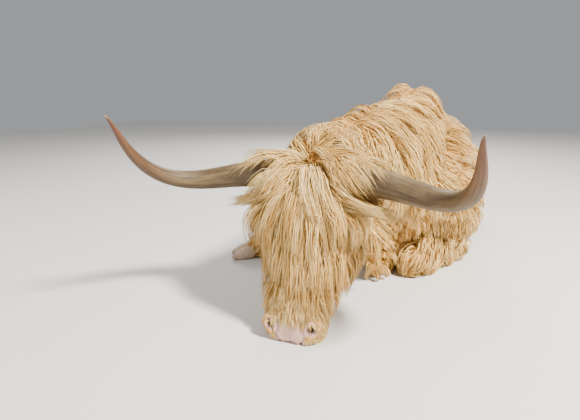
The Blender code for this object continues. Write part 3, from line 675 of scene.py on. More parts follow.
def sculpt_muzzle(hide):
    """Nostrils, the line of the mouth and the folds over the nose."""
    points = points_of(hide)
    local = into_head(points)
    x, y, z = local.T
    push = np.zeros(len(points))
    for side in SIDES.values():
        offset = from_place(local, NOSTRIL_PLACE, side)
        aim = unit(np.array(on_side(NOSTRIL_AIM, side)))
        along = np.array(NOSTRIL_LONG) * (side, 1, 1)
        along = unit(along - aim * (along @ aim))
        over = np.cross(aim, along) * side
        p, q, w = offset @ along, offset @ over, offset @ aim
        comma = q + NOSTRIL_BEND * (p - 0.002) ** 2
        hollow = np.sqrt((p / NOSTRIL_SIZE[0]) ** 2 + (comma / NOSTRIL_SIZE[1]) ** 2)
        near = bell(w, 0.03)
        crease = segment_distance(side * x, z, *NOSE_CREASE)
        push -= CREASE_DEPTH * bell(crease, 0.0028) * (y < 0.030)
        push += CREASE_FOLD * bell(crease - 0.009, 0.006) * (y < 0.030) * (z < -0.45)
        push -= NOSTRIL_DEPTH * (1 - smooth_step(0.35, 1.15, hollow)) * near
        push += NOSTRIL_RIM * bell(hollow - 1.45, 0.35) * near
    lips = bell(y - MOUTH_LINE - 0.25 * np.maximum(0, z + 0.47), 0.0035)
    push -= MOUTH_DEPTH * lips * smooth_step(-0.415, -0.440, z)
    push += LIP_ROLL * bell(y - MOUTH_LINE + 0.011, 0.006) * smooth_step(-0.43, -0.46, z)
    push -= LIP_GROOVE * bell(x, 0.0035) * smooth_step(-0.475, -0.495, z) * (y < MOUTH_LINE - 0.004)
    place_points(hide, points + normals_of(hide) * push[:, None])


def eye_frame(side):
    """An eye's centre and the way that it looks."""
    aim = HEAD_MATRIX.to_3x3() @ on_side(EYE_AIM, side).normalized()
    return np.array(HEAD_MATRIX @ on_side(EYE_PLACE, side)), np.array(aim)


def sculpt_lids(hide):
    """The skin draws back from each eye and closes on the ball as two lids."""
    points = points_of(hide)
    for side in SIDES.values():
        centre, aim = eye_frame(side)
        up = np.array(HEAD_MATRIX.to_3x3() @ Vector((0.15 * side, -0.25, 1.0)))
        up = unit(up - aim * (up @ aim))
        offset = points - centre
        distance = np.linalg.norm(offset, axis=1)
        outward = offset / distance[:, None]
        u, v, w = offset @ np.cross(aim, up), offset @ up, offset @ aim
        front = w > 0
        slit = (u / EYE_SLIT[0]) ** 2 + ((v + 0.001) / EYE_SLIT[1]) ** 2
        lid = (1 - smooth_step(0.020, 0.046, np.hypot(u, v))) * front
        pulled = distance + (EYE_RADIUS + LID_THICKNESS - distance) * lid
        pulled = np.where(front & (slit < 1.0), EYE_RADIUS - SOCKET_DEPTH, pulled)
        points = centre + outward * pulled[:, None]
    place_points(hide, points)


# Horns, ears, eyes and claws

def curve_point(route, t):
    """A point on the smooth curve that its control points draw, t from 0 to 1."""
    points = [Vector(point) for point in route]
    while len(points) > 1:
        points = [a.lerp(b, t) for a, b in zip(points, points[1:])]
    return points[0]


def make_horn(name, side, route, root_radius):
    """A tapering horn with growth rings that fade out along it."""
    middles = [curve_point(route, i / HORN_STEPS) for i in range(HORN_STEPS + 1)]
    travelled = np.concatenate([[0], np.cumsum([(b - a).length for a, b in zip(middles, middles[1:])])])
    rings = []
    for i, (x, y, z) in enumerate(middles):
        t = travelled[i] / travelled[-1]
        ripple = HORN_RIPPLE * math.exp(-3 * t) * math.sin(95 * t + 2.0 * math.sin(17 * t))
        radius = (root_radius * (1 - t) ** HORN_TAPER + HORN_TIP_RADIUS) * (1 + ripple)
        if i == HORN_STEPS:
            radius *= HORN_TIP_CLOSING
        rings.append((side * x, y, z, radius * HORN_OVAL[0], radius * HORN_OVAL[1], 0.0))
    horn = form(name, rings, sides=HORN_SIDES, place=HEAD_MATRIX)
    points = points_of(horn)
    centres = np.array([tuple(HEAD_MATRIX @ Vector(ring[:3])) for ring in rings])
    order = np.argmin(((points[:, None, :] - centres[None, :, :]) ** 2).sum(axis=2), axis=1)
    lengths = np.concatenate([[0], np.cumsum(np.linalg.norm(np.diff(centres, axis=0), axis=1))])
    offset = points - centres[order]
    ahead = unit(np.gradient(centres, axis=0))
    sideways = unit(np.cross(ahead, HEAD_TURN[:, 2]))
    rise = np.cross(sideways, ahead)
    angle = np.arctan2((offset * rise[order]).sum(axis=1), (offset * sideways[order]).sum(axis=1))
    store(horn, "grain", "FLOAT_VECTOR", np.stack([np.cos(angle), np.sin(angle), lengths[order]], axis=1))
    store(horn, "along", "FLOAT", lengths[order] / lengths[-1])
    smooth(horn)
    return horn


def ear_axes(side):
    """Where an ear grows, the way that it points and the way that it faces."""
    return [on_side(axis, side) for axis in (EAR_ROOT, EAR_AIM, EAR_FACING)]


def make_ear(name, side):
    """An ear that hangs back and down from behind the horn, hollow on the side that faces out."""
    root, aim, facing = ear_axes(side)
    rings = [(*(root + aim * along), width, depth, 0.0) for along, width, depth in EAR_RINGS]
    leaf = form(name, rings, up=facing, place=HEAD_MATRIX)
    finish_with(leaf, "SUBSURF", levels=2, render_levels=2)
    local = into_head(points_of(leaf))
    way = np.array(aim)
    face = np.array(facing.normalized())
    face = unit(face - way * (face @ way))
    offset = local - np.array(root)
    along = offset @ way
    across = offset @ np.cross(way, face)
    width = np.interp(along, EAR_ALONG, EAR_WIDTH)
    depth = np.interp(along, EAR_ALONG, EAR_DEPTH)
    cup = np.clip(1 - (across / (0.86 * width)) ** 2, 0, 1) * smooth_step(0.03, 0.08, along)
    cup *= 1 - smooth_step(0.16, 0.19, along)
    sink = np.where(offset @ face > 0, cup * (1.45 * depth + 0.004), cup * 0.3 * depth)
    curl = 0.20 * across ** 2 / np.maximum(width, 0.01)
    place_points(leaf, (local + np.outer(curl - sink, face)) @ HEAD_TURN.T + np.array(HEAD_PLACE))
    smooth(leaf)
    return leaf


def make_eye(name, side):
    """A ball with a bulging clear front."""
    ball = lump(name, on_side(EYE_PLACE, side), (EYE_RADIUS,) * 3)
    finish_with(ball, "SUBSURF", levels=1, render_levels=1)
    centre, aim = eye_frame(side)
    outward = unit(points_of(ball) - centre)
    front = outward @ aim
    radius = EYE_RADIUS + CORNEA_RISE * smooth_step(0.72, 1.0, front)
    place_points(ball, centre + outward * radius[:, None])
    store(ball, "front", "FLOAT", front)
    smooth(ball)
    return ball


def make_claw(name, end, heading, side, sole_up):
    """One of a foot's two claws, flat beneath, with a rounded toe."""
    heading = Vector((*heading, 0)).normalized()
    across = Vector((-heading.y, heading.x, 0))
    aim = Matrix.Rotation(side * CLAW_SPLAY, 3, "Z") @ heading
    start = Vector((*end, 0)) - heading * CLAW_SINK + across * side * CLAW_OFFSET
    rings = []
    for along, height, half_width, half_height in CLAW_RINGS:
        centre = start + aim * along
        rise = CLAW_TALL - height if sole_up else height
        rings.append((centre.x, centre.y, rise, half_width, half_height, 0.0))
    claw = form(name, rings, sides=16)
    finish_with(claw, "SUBSURF", levels=2, render_levels=2)
    points = points_of(claw)
    if sole_up:
        points[:, 2] = np.minimum(points[:, 2], CLAW_TALL - 0.001)
    points[:, 2] = np.maximum(points[:, 2], 0.0)
    place_points(claw, points)
    store(claw, "height", "FLOAT", (points - np.array(start)) @ np.array(aim) / CLAW_LONG)
    smooth(claw)
    return claw


# The coat

class Pelt:
    """What the hair needs to know of the skin: its faces, its unwrap and how hair lies on each."""

    def __init__(self, hide, horns):
        self.points, self.normals = points_of(hide), normals_of(hide)
        self.faces, corners = triangles_of(hide)
        self.flat = unwrap_of(hide)[corners]
        self.areas = areas_of(self.points, self.faces)
        self.edges = read(hide.data.edges, "vertices", 2, np.int32)
        self.local = into_head(self.points)
        self.read_forms()
        for horn in horns:
            self.add_horn(horn)
        self.tree = BVHTree.FromPolygons(self.points.tolist(), self.faces.tolist())

    def add_horn(self, horn):
        """The root of a horn holds the hair up, and grows none."""
        points, normals = points_of(horn), normals_of(horn)
        faces, _ = triangles_of(horn)
        away = into_head(points) - WHORL
        away[:, 2] -= 0.6 * np.linalg.norm(away, axis=1)
        at_poll = np.argmin(np.linalg.norm(self.points - np.array(HEAD_PLACE), axis=1))
        self.faces = np.vstack([self.faces, faces + len(self.points)])
        self.areas = np.concatenate([self.areas, np.zeros(len(faces))])
        self.depth = np.concatenate([self.depth, np.full(len(points), HORN_CLEARANCE)])
        self.flow = np.vstack([self.flow, laid_on(away @ HEAD_TURN.T, normals)])
        self.sizes = np.vstack([self.sizes, np.tile(self.sizes[at_poll], (len(points), 1))])
        self.points = np.vstack([self.points, points])
        self.normals = np.vstack([self.normals, normals])

    def on(self, *kinds):
        """The points that are on some parts of the body."""
        return np.isin(self.kind, [KINDS.index(kind) for kind in kinds])

    def even_out(self, values, rounds):
        """Blend a value of each point with its neighbours'."""
        a, b = self.edges.T
        size = len(self.points)
        shared = np.bincount(a, minlength=size) + np.bincount(b, minlength=size)
        values = values.reshape(size, -1)
        for _ in range(rounds):
            total = np.stack([np.bincount(a, column[b], size) + np.bincount(b, column[a], size)
                              for column in values.T], axis=1)
            values = 0.4 * values + 0.6 * total / np.maximum(shared, 1)[:, None]
        return values

    def read_forms(self):
        """The part of the body that each point belongs to, and the hair's lie and depth there."""
        best = np.full(len(self.points), np.inf)
        depth = np.zeros(len(self.points))
        along = np.zeros((len(self.points), 3))
        self.kind = np.zeros(len(self.points), int)
        for name, rings in ((name, rings) for name, chains in FORMS.items() for rings in chains):
            place = HEAD_MATRIX if name == "head" else UPRIGHT
            centres = [place @ Vector(ring[:3]) for ring in rings]
            for i, (centre, (*_, half_width, half_height, ring_depth)) in enumerate(zip(centres, rings)):
                girth = 0.5 * (half_width + half_height) + ring_depth
                reach = np.linalg.norm(self.points - np.array(centre), axis=1) / girth
                closer = reach < best
                best = np.where(closer, reach, best)
                depth = np.where(closer, ring_depth, depth)
                self.kind = np.where(closer, KINDS.index(name), self.kind)
                along[closer] = np.array(way_ahead(centres, i))
        self.depth = self.even_out(depth, FORM_ROUNDS)[:, 0]
        self.flow = self.lie(along)
        sizes = np.array(list(HAIR.values()))[self.kind]
        self.sizes = self.even_out(self.suited(sizes), FORM_ROUNDS)

    def suited(self, sizes):
        """The hair's sizes, changed over the face and in places on the body."""
        x, y, z = self.points.T
        across, _, height = self.local.T
        head, trunk = self.on("head"), self.on("trunk")
        for column, (heights, shares) in FACE_HAIR.items():
            sizes[head, column] *= np.interp(height[head], heights, shares)
        sizes[head, PALE] = np.interp(height[head], *FACE_PALE)
        places = {
            "muzzle_side": smooth_step(0.028, 0.055, np.abs(across)) * smooth_step(-0.36, -0.42, height),
            "hump": bell(y + 0.03, 0.18) * smooth_step(0.40, 0.58, z) * trunk,
            "breast": trunk * smooth_step(-0.20, -0.32, y) * smooth_step(0.40, 0.25, z),
            "flank": trunk * smooth_step(0.10, 0.20, x) * smooth_step(0.62, 0.45, z),
            "switch": self.on("tail") * smooth_step(-0.19, -0.25, x),
        }
        for name, share in places.items():
            for column, change in PLACE_HAIR[name].items():
                sizes[:, column] *= 1 + change * share
            sizes[:, PALE] += PLACE_PALE.get(name, 0.0) * share
        return sizes

    def lie(self, along):
        """The way the hair lies at each point, along the skin."""
        across, y, _ = self.points.T
        crest_x, crest_y = zip(*CREST)
        side = np.sign(across - np.interp(y, crest_y, crest_x))
        top = np.maximum(0, self.normals[:, 2])
        nape = smooth_step(-0.46, -0.58, y) * self.on("neck")
        back = (0.25 + 0.20 * top) * (1 - nape) - 0.7 * nape
        body = np.stack([side * CREST_FALL * top * (1 - 0.8 * nape), back, np.full(len(top), -1.0)], axis=1)
        away = self.local - WHORL
        length = np.linalg.norm(away, axis=1)
        on_face = (away[:, 2] < 0) & (self.local[:, 1] < 0.10)
        near = np.where(on_face, np.exp(-length / WHORL_REACH), 1.0)[:, None]
        x, _, z = self.local.T
        fall = np.stack([np.interp(z, *FACE_FAN) * x, np.full(len(x), 0.08), np.full(len(x), -1.0)], axis=1)
        face = (away / length[:, None] * near + fall * (1 - near)) @ HEAD_TURN.T
        flow = along * 0.8 + np.array([0, 0, -0.7])
        flow[self.on("trunk", "neck")] = body[self.on("trunk", "neck")]
        flow[self.on("head")] = face[self.on("head")]
        flow = self.even_out(laid_on(flow, self.normals), FLOW_ROUNDS)
        return laid_on(flow, self.normals)

    def roots(self, rng, allowed, closeness=1.0):
        """Places spread evenly over the skin, as far apart as the locks there need."""
        rooted = len(self.flat)
        chance = np.zeros(len(self.faces))
        chance[:rooted] = self.areas[:rooted] * allowed[self.faces[:rooted]].mean(axis=1)
        space = self.sizes[self.faces[:, 0], SPACE] * closeness
        chance = np.where(chance > 0, chance / np.maximum(space, 0.005) ** 2, 0.0)
        picks = rng.choice(len(chance), size=int(ROOT_TRIES * chance.sum()), p=chance / chance.sum())
        u, v = np.sort(rng.random((2, len(picks))), axis=0)
        weights = np.stack([u, v - u, 1 - v], axis=1)[:, :, None]
        places = (self.points[self.faces[picks]] * weights).sum(axis=1)
        chosen = [0]
        for k, gap in enumerate(space[picks]):
            if ((places[chosen] - places[k]) ** 2).sum(axis=1).min() > gap * gap:
                chosen.append(k)
        picks = picks[chosen]
        return places[chosen], picks, (self.flat[picks] * weights[chosen]).sum(axis=1)

    def comb(self, rng, places, picks, stretch, aims=None):
        """The route of a lock from each root, and the outward way at each of its steps.

        With aims, each lock sets out its own way before it falls in with the rest.
        """
        routes = np.empty((len(places), ROUTE_STEPS, 3))
        outward = np.empty((len(places), ROUTE_STEPS, 3))
        for k, (place, face) in enumerate(zip(places, picks)):
            corner = self.faces[face, 0]
            size = self.sizes[corner]
            room = self.depth[corner]
            lift = rng.uniform(size[LOW], size[HIGH])
            turn = rng.normal(0.0, 0.5 * size[BEND])
            bend = rng.normal(0.0, size[BEND])
            point = Vector(place)
            normal = Vector(self.normals[corner])
            heading = Vector(self.flow[corner])
            routes[k, 0] = point - normal * ROOT_DEPTH
            outward[k, 0] = normal
            step = size[LENGTH] * stretch[k] / (ROUTE_STEPS - 1)
            for i in range(1, ROUTE_STEPS):
                t = i / (ROUTE_STEPS - 1)
                lie = Vector(self.flow[corner])
                lie.rotate(Matrix.Rotation(turn + bend * math.sin(LOCK_SWAY * t), 3, normal))
                wish = lie + Vector((0, 0, -size[DROOP] * t))
                if aims is not None:
                    wish += Vector(aims[k]) * max(0.0, 1 - AIM_FADE * t) ** 0.6 * AIM_STRENGTH
                heading = (heading * (1 - TURN_IN) + wish.normalized() * TURN_IN).normalized()
                point = point + heading * step
                near, _, index, _ = self.tree.find_nearest(point)
                corner = self.faces[index, 0]
                normal = Vector(self.normals[corner])
                height = (point - near).dot(normal)
                depth = ROOT_SHARE * room + (1 - ROOT_SHARE) * self.depth[corner]
                wanted = lift * (1 - math.exp(-LIFT_RATE * t)) * depth
                if height < wanted:
                    point = point + normal * (wanted - height)
                else:
                    point = point - normal * (height - wanted) * size[CLING]
                point.z = max(point.z, FLOOR_ROOM)
                routes[k, i] = point
                outward[k, i] = normal
        return routes, outward


def weave(routes, outward, flat, sizes, rng, count, gather=LOCK_GATHER):
    """Tufts of each lock: tapered three-sided strands that draw together towards the lock's tip."""
    locks = len(routes)
    total = locks * count
    lock = np.repeat(np.arange(locks), count)
    ahead = unit(np.gradient(routes, axis=1))
    across = unit(np.cross(ahead, outward))
    rise = np.cross(across, ahead)
    t = np.linspace(0, 1, TUFT_STEPS)
    reach = rng.uniform(*TUFT_REACH, total) * np.where(rng.random(total) < LOOSE_SHARE, LOOSE_REACH, 1.0)
    spot = np.clip(t[None, :] * reach[:, None], 0, 1.12) * (ROUTE_STEPS - 1)
    low = np.minimum(spot.astype(int), ROUTE_STEPS - 2)
    part = (spot - low)[:, :, None]

    def along(values):
        return values[lock[:, None], low] * (1 - part) + values[lock[:, None], low + 1] * part

    centre, side, up = along(routes), along(across), along(rise)
    width, tuft, swing, pale = (sizes[lock, column][:, None] for column in (LOCK, TUFT, WAVE, PALE))
    u = rng.uniform(-0.5, 0.5, total)[:, None]
    v = rng.uniform(0.0, 1.0, total)[:, None]
    drift = rng.normal(0, TUFT_DRIFT, (2, total))[:, :, None]
    closing = 1 - gather * t ** 1.4
    spread = (u * closing + drift[0] * t) * width
    stack = (v * closing + drift[1] * t) * LOCK_THICKNESS * width
    phase = rng.uniform(0, 2 * math.pi, (2, total)) * 0.35 + rng.uniform(0, 2 * math.pi, locks)[lock]
    turns = 2 * math.pi * rng.uniform(*WAVES, total)[:, None] * t
    ripple = swing * np.sin(turns + phase[0][:, None]) * t ** 0.7
    rippled = 0.6 * swing * np.cos(turns + phase[1][:, None]) * t ** 0.7
    centre = centre + side * (spread + ripple)[:, :, None] + up * (stack + rippled)[:, :, None]
    twist = rng.uniform(-TUFT_TWIST, TUFT_TWIST, total)[:, None, None]
    flat_side = side * np.cos(twist) + up * np.sin(twist)
    flat_up = up * np.cos(twist) - side * np.sin(twist)
    girth = (0.5 * tuft * TUFT_SHAPE * rng.uniform(*TUFT_GIRTH, total)[:, None])[:, :, None]
    rings = np.stack([centre - flat_side * girth, centre + flat_up * (0.65 * girth),
                      centre + flat_side * girth], axis=2)[:, :-1]
    points = np.concatenate([rings.reshape(total, -1, 3), centre[:, -1:]], axis=1)
    points[:, :, 2] = np.maximum(points[:, :, 2], 0.002)
    shade = np.concatenate([np.repeat(t[:-1], 3), [1.0]])
    patch = np.concatenate([np.tile([0.0, 0.5, 1.0], TUFT_STEPS - 1), [0.5]])
    uv = np.clip(flat[lock], PATCH, 1 - PATCH)[:, None, :]
    uv = uv + PATCH * np.stack([patch - 0.5, shade - 0.5], axis=1)
    tone = 0.45 * rng.random(locks)[lock] + 0.55 * rng.random(total) + pale[:, 0]
    grain = np.empty((total, points.shape[1], 3))
    grain[:, :, 0] = patch * HAIRS_PER_TUFT
    grain[:, :, 1] = shade * HAIR_CHANGES
    grain[:, :, 2] = rng.uniform(0, 400, total)[:, None]
    return points, np.tile(shade, (total, 1)), np.repeat(tone[:, None], points.shape[1], axis=1), uv, grain


def dress_region(pelt, rng, allowed, count):
    """The locks of one part of the body."""
    places, picks, flat = pelt.roots(rng, allowed)
    routes, outward = pelt.comb(rng, places, picks, rng.uniform(*STRETCH, len(places)))
    return weave(routes, outward, flat, pelt.sizes[pelt.faces[picks, 0]], rng, count)


def dress_crown(pelt, rng):
    """Long locks from the poll, out over the roots of the horns and down past the eyes."""
    x, y, z = pelt.local.T
    top = smooth_step(-0.070, -0.050, z) * (np.abs(x) < 0.105) * (y < 0.095) * (z < 0.12)
    places, picks, flat = pelt.roots(rng, top, CROWN_SPACE)
    across, into, _ = into_head(places).T
    outward = np.clip(across / 0.050, -1.6, 1.6)
    middle = np.clip(1 - np.abs(outward), 0, 1)
    behind = smooth_step(0.005, 0.050, into)
    aims = np.stack([outward * np.where(outward < 0, 0.75, 1.0) * (1 - 0.20 * behind),
                     rng.normal(-0.22, 0.15, len(places)) + 0.85 * behind,
                     -0.12 - 0.8 * middle * (1 - behind)], axis=1)
    stretch = rng.uniform(*STRETCH, len(places))
    routes, away = pelt.comb(rng, places, picks, stretch, unit(aims) @ HEAD_TURN.T)
    return weave(routes, away, flat, pelt.sizes[pelt.faces[picks, 0]], rng, CROWN_TUFTS, CROWN_GATHER)


def dress_ear(leaf, side, rng):
    """Short hair over an ear, long along its lower edge and tip, as tufts."""
    root, aim, facing = (np.array(axis) for axis in ear_axes(side))
    faces, corners = triangles_of(leaf)
    points, normals = points_of(leaf), normals_of(leaf)
    areas = areas_of(points, faces)
    picks = rng.choice(len(areas), EAR_LOCKS, p=areas / areas.sum())
    places = points[faces[picks]].sum(axis=1) / 3
    flat = unwrap_of(leaf)[corners[picks]].mean(axis=1)
    local = into_head(places) - root
    across = unit(np.cross(aim, facing))
    edge = local @ across / np.interp(local @ aim, EAR_ALONG, EAR_WIDTH)
    lower = np.sign((HEAD_TURN @ across)[2]) * -1
    rim = smooth_step(0.55, 0.95, np.abs(edge)) * np.where(edge * lower > 0, 1.0, 0.5)
    tip = smooth_step(0.12, 0.18, local @ aim)
    length = 0.030 + 0.085 * np.maximum(rim, tip) * rng.uniform(0.6, 1.1, len(picks))
    outward = normals[faces[picks, 0]]
    heading = (aim * 0.8 + np.outer(edge, across) * 0.7 * rim[:, None]) @ HEAD_TURN.T + outward * 0.12
    routes = np.empty((len(picks), ROUTE_STEPS, 3))
    point = places.copy()
    for i in range(ROUTE_STEPS):
        routes[:, i] = point
        heading[:, 2] -= 0.10 * (i > 1) * (0.4 + rim)
        heading = unit(heading)
        point = point + heading * (length / (ROUTE_STEPS - 1))[:, None]
    sizes = np.tile(np.array(HAIR["head"]), (len(picks), 1))
    sizes[:, [LOCK, TUFT, WAVE]] = EAR_HAIR
    return weave(routes, np.repeat(outward[:, None], ROUTE_STEPS, axis=1), flat, sizes, rng, EAR_TUFTS)


def tuft_faces():
    """The faces of one tuft, over its rings and its tip."""
    faces = [(0, 2, 1)]
    for i in range(TUFT_STEPS - 2):
        for k in range(3):
            a, b = 3 * i + k, 3 * i + (k + 1) % 3
            faces += [(a, b, b + 3), (a, b + 3, a + 3)]
    last, tip = 3 * (TUFT_STEPS - 2), 3 * (TUFT_STEPS - 1)
    faces += [(last + k, last + (k + 1) % 3, tip) for k in range(3)]
    return np.array(faces)


def coat_pieces(name, batches, material):
    """Joined meshes of tufts, none with more triangles than a piece may have."""
    points, shade, tone, uv, grain = (np.concatenate([batch[k] for batch in batches]) for k in range(5))
    pattern = tuft_faces()
    a, b, c = (points[0][pattern[:, k]] - points[0][0] for k in range(3))
    if np.einsum("ij,ij->", a, np.cross(b, c)) < 0:
        pattern = pattern[:, ::-1]
    parts = math.ceil(len(points) / (PIECE_TRIANGLES // len(pattern)))
    for number, chunk in enumerate(np.array_split(np.arange(len(points)), parts)):
        size = points.shape[1]
        faces = (pattern[None] + (np.arange(len(chunk)) * size)[:, None, None]).reshape(-1, 3)
        mesh = bpy.data.meshes.new(name)
        mesh.vertices.add(len(chunk) * size)
        mesh.vertices.foreach_set("co", points[chunk].astype(np.float32).ravel())
        mesh.loops.add(len(faces) * 3)
        mesh.loops.foreach_set("vertex_index", faces.astype(np.int32).ravel())
        mesh.polygons.add(len(faces))
        mesh.polygons.foreach_set("loop_start", np.arange(0, len(faces) * 3, 3, dtype=np.int32))
        mesh.update(calc_edges=True)
        layer = mesh.uv_layers.new(name="OFBake")
        layer.data.foreach_set("uv", uv[chunk].reshape(-1, 2)[faces.ravel()].astype(np.float32).ravel())
        piece = bpy.data.objects.new(name if parts == 1 else f"{name}_{number + 1}", mesh)
        bpy.context.scene.collection.objects.link(piece)
        store(piece, "along", "FLOAT", shade[chunk])
        store(piece, "tone", "FLOAT", tone[chunk])
        store(piece, "grain", "FLOAT_VECTOR", grain[chunk])
        smooth(piece)
        piece.data.materials.append(material)
        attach(piece, "root")


# Materials

class Value:
    """A number that varies over a surface, for use in Python expressions."""

    def __init__(self, recipe, socket):
        self.recipe = recipe
        self.socket = socket

    def math(self, operation, first, second):
        return self.recipe.node("ShaderNodeMath", {"operation": operation}, {0: first, 1: second})

    def __add__(self, other):
        return self.math("ADD", self, other)

    def __sub__(self, other):
        return self.math("SUBTRACT", self, other)

    def __rsub__(self, other):
        return self.math("SUBTRACT", other, self)

    def __mul__(self, other):
        return self.math("MULTIPLY", self, other)

    __radd__ = __add__
    __rmul__ = __mul__


class Recipe:
    """The nodes of one material."""

    def __init__(self, name, **finish):
        self.material = bpy.data.materials.new(name)
        self.material.use_nodes = True
        self.tree = self.material.node_tree
        self.finish(**finish)

    def feed(self, node, inputs):
        for key, value in inputs.items():
            socket = node.inputs[key]
            if isinstance(value, Value):
                self.tree.links.new(value.socket, socket)
            elif socket.type == "RGBA":
                socket.default_value = (*value, 1.0)
            else:
                socket.default_value = value

    def node(self, kind, settings, inputs, out=0):
        """A node with its settings made first and then its sockets fed."""
        node = self.tree.nodes.new(kind)
        for name, value in settings.items():
            if name == "stops":
                ramp = node.color_ramp
                while len(ramp.elements) < len(value):
                    ramp.elements.new(0.5)
                for element, (position, color) in zip(ramp.elements, value):
                    element.position = position
                    element.color = (*color, 1.0)
            else:
                setattr(node, name, value)
        self.feed(node, inputs)
        return Value(self, node.outputs[out])

    def place(self):
        return self.node("ShaderNodeTexCoord", {}, {}, "Object")

    def attribute(self, name, out="Fac"):
        return self.node("ShaderNodeAttribute", {"attribute_name": name}, {}, out)

    def noise(self, vector, scale, detail=2.0, roughness=0.5, stretch=None):
        """Noise, over a pattern that may be stretched first."""
        if stretch:
            vector = self.node("ShaderNodeMapping", {}, {"Vector": vector, "Scale": stretch})
        return self.node("ShaderNodeTexNoise", {}, {"Vector": vector, "Scale": scale, "Detail": detail,
                                                    "Roughness": roughness}, "Fac")

    def mix(self, share, low, high):
        return self.node("ShaderNodeMix", {"data_type": "RGBA"}, {0: share, 6: low, 7: high}, 2)

    def ramp(self, share, *stops):
        share = self.node("ShaderNodeClamp", {}, {"Value": share})
        return self.node("ShaderNodeValToRGB", {"stops": stops}, {"Fac": share})

    def span(self, value, low, high):
        """0 below low, 1 above high."""
        return self.node("ShaderNodeMapRange", {"clamp": True},
                         {"Value": value, "From Min": low, "From Max": high})

    def bump(self, height, strength, distance):
        return self.node("ShaderNodeBump", {},
                         {"Height": height, "Strength": strength, "Distance": distance})

    def finish(self, **inputs):
        shader = self.tree.nodes["Principled BSDF"]
        self.feed(shader, {name.replace("_", " "): value for name, value in inputs.items()})
        return self.material


def coat_tint(recipe):
    """Broad drifts of colour, the same on skin and hair."""
    place = recipe.place()
    return recipe.noise(place, 3.2) * 0.6 + recipe.noise(place, 11.0) * 0.4


def hair_material():
    recipe = Recipe("coat_hair", Specular_IOR_Level=0.25)
    fine = recipe.noise(recipe.attribute("grain", "Vector"), 1.0, 2.0, 0.6)
    # the along term makes each tuft darker towards its root: painted shade deep in the coat
    share = recipe.attribute("along") * 0.14 + recipe.attribute("tone") * 0.85 + coat_tint(recipe) * 0.60
    color = recipe.ramp(share + fine * 1.00 - 0.76, (0.0, HAIR_DEEP), (0.40, HAIR_MID), (1.0, HAIR_PALE))
    return recipe.finish(Base_Color=color, Roughness=0.50 + fine * 0.15,
                         Normal=recipe.bump(fine, 0.8, 0.0015))


def hide_material():
    recipe = Recipe("hide_skin")
    place = recipe.place()
    fur = recipe.noise(place, 420.0, 3.0, 0.6, stretch=(1.0, 1.0, 0.25))
    # the hide's fur runs darker than the hair, down to painted shade for the gaps between the tufts
    furred = recipe.ramp(coat_tint(recipe) * 0.7 + fur * 0.45 - 0.05,
                         (0.0, UNDERCOAT_AND_GAP_SHADE), (0.5, HAIR_MID), (1.0, HAIR_PALE))
    mottle = recipe.noise(place, 38.0, 3.0, 0.6)
    pebble = recipe.node("ShaderNodeTexVoronoi", {"feature": "DISTANCE_TO_EDGE"},
                         {"Vector": place, "Scale": 330.0})
    bare = recipe.attribute("bare")
    color = recipe.mix(bare, furred, recipe.mix(recipe.span(mottle, 0.35, 0.72), NOSE_PALE, NOSE_DEEP))
    # dark skin round the eyes, and painted shade inside the nostrils
    color = recipe.mix(recipe.attribute("dark"), color, SKIN_DARK_AND_NOSTRIL_SHADE)
    height = fur * (1 - bare) + recipe.span(pebble, 0.0, 0.16) * bare * 0.8
    return recipe.finish(Base_Color=color, Roughness=0.85 - bare * 0.45,
                         Normal=recipe.bump(height, 0.5, 0.0016))


def horn_material():
    recipe = Recipe("horn_keratin", Specular_IOR_Level=0.3)
    grain = recipe.attribute("grain", "Vector")
    along = recipe.attribute("along")
    streak = recipe.noise(grain, 2.2, 5.0, 0.65, stretch=(3.2, 3.2, 3.0))
    cloud = recipe.noise(grain, 1.6, 3.0, 0.55, stretch=(1.0, 1.0, 6.0))
    rings = recipe.noise(grain, 1.0, 3.0, 0.6, stretch=(0.4, 0.4, 60.0))
    fine = recipe.noise(grain, 1.5, 4.0, 0.6, stretch=(22.0, 22.0, 9.0))
    body = recipe.mix(recipe.span(cloud, 0.30, 0.70), HORN_BROWN, HORN_PALE)
    body = recipe.mix(recipe.span(streak, 0.40, 0.70), body, HORN_STREAK)
    tip = recipe.mix(recipe.span(streak, 0.35, 0.70), HORN_RED, HORN_DARK)
    color = recipe.mix(recipe.span(along + cloud * 0.30, 0.72, 1.06), body, tip)
    color = recipe.mix(recipe.span(along, 0.985, 1.0), color, HORN_POINT)
    height = rings * 0.55 * (1 - along) + fine * 0.30 + streak * 0.3
    return recipe.finish(Base_Color=color, Roughness=0.42 + fine * 0.22,
                         Normal=recipe.bump(height, 0.45, 0.0022))


def hoof_material():
    recipe = Recipe("hoof_keratin")
    place = recipe.place()
    streak = recipe.noise(place, 60.0, 4.0, 0.6, stretch=(1.0, 1.0, 5.0))
    color = recipe.mix(recipe.span(streak, 0.3, 0.7), HOOF_DEEP, HOOF_PALE)
    color = recipe.mix(recipe.span(recipe.attribute("height"), 0.75, 1.05), color, HOOF_TOE)
    rings = recipe.noise(place, 1.0, stretch=(90.0, 90.0, 25.0))
    return recipe.finish(Base_Color=color, Roughness=0.50 + streak * 0.2,
                         Normal=recipe.bump(rings + streak, 0.4, 0.001))


def eye_material():
    recipe = Recipe("eye_wet", Roughness=0.06, Coat_Weight=1.0, Coat_Roughness=0.03)
    front = recipe.attribute("front")
    fibres = recipe.noise(recipe.place(), 260.0, 4.0, 0.7)
    iris = recipe.mix(recipe.span(fibres, 0.3, 0.7), IRIS_DARK, IRIS_LIGHT)
    color = recipe.mix(recipe.span(front, 0.930, 0.945), iris, PUPIL)
    return recipe.finish(Base_Color=recipe.mix(recipe.span(front, 0.780, 0.740), color, EYE_WHITE))


def floor_material():
    recipe = Recipe("studio_floor", Roughness=0.9)
    return recipe.finish(Base_Color=recipe.mix(recipe.noise(recipe.place(), 140.0), *FLOOR_TINTS))


# Build

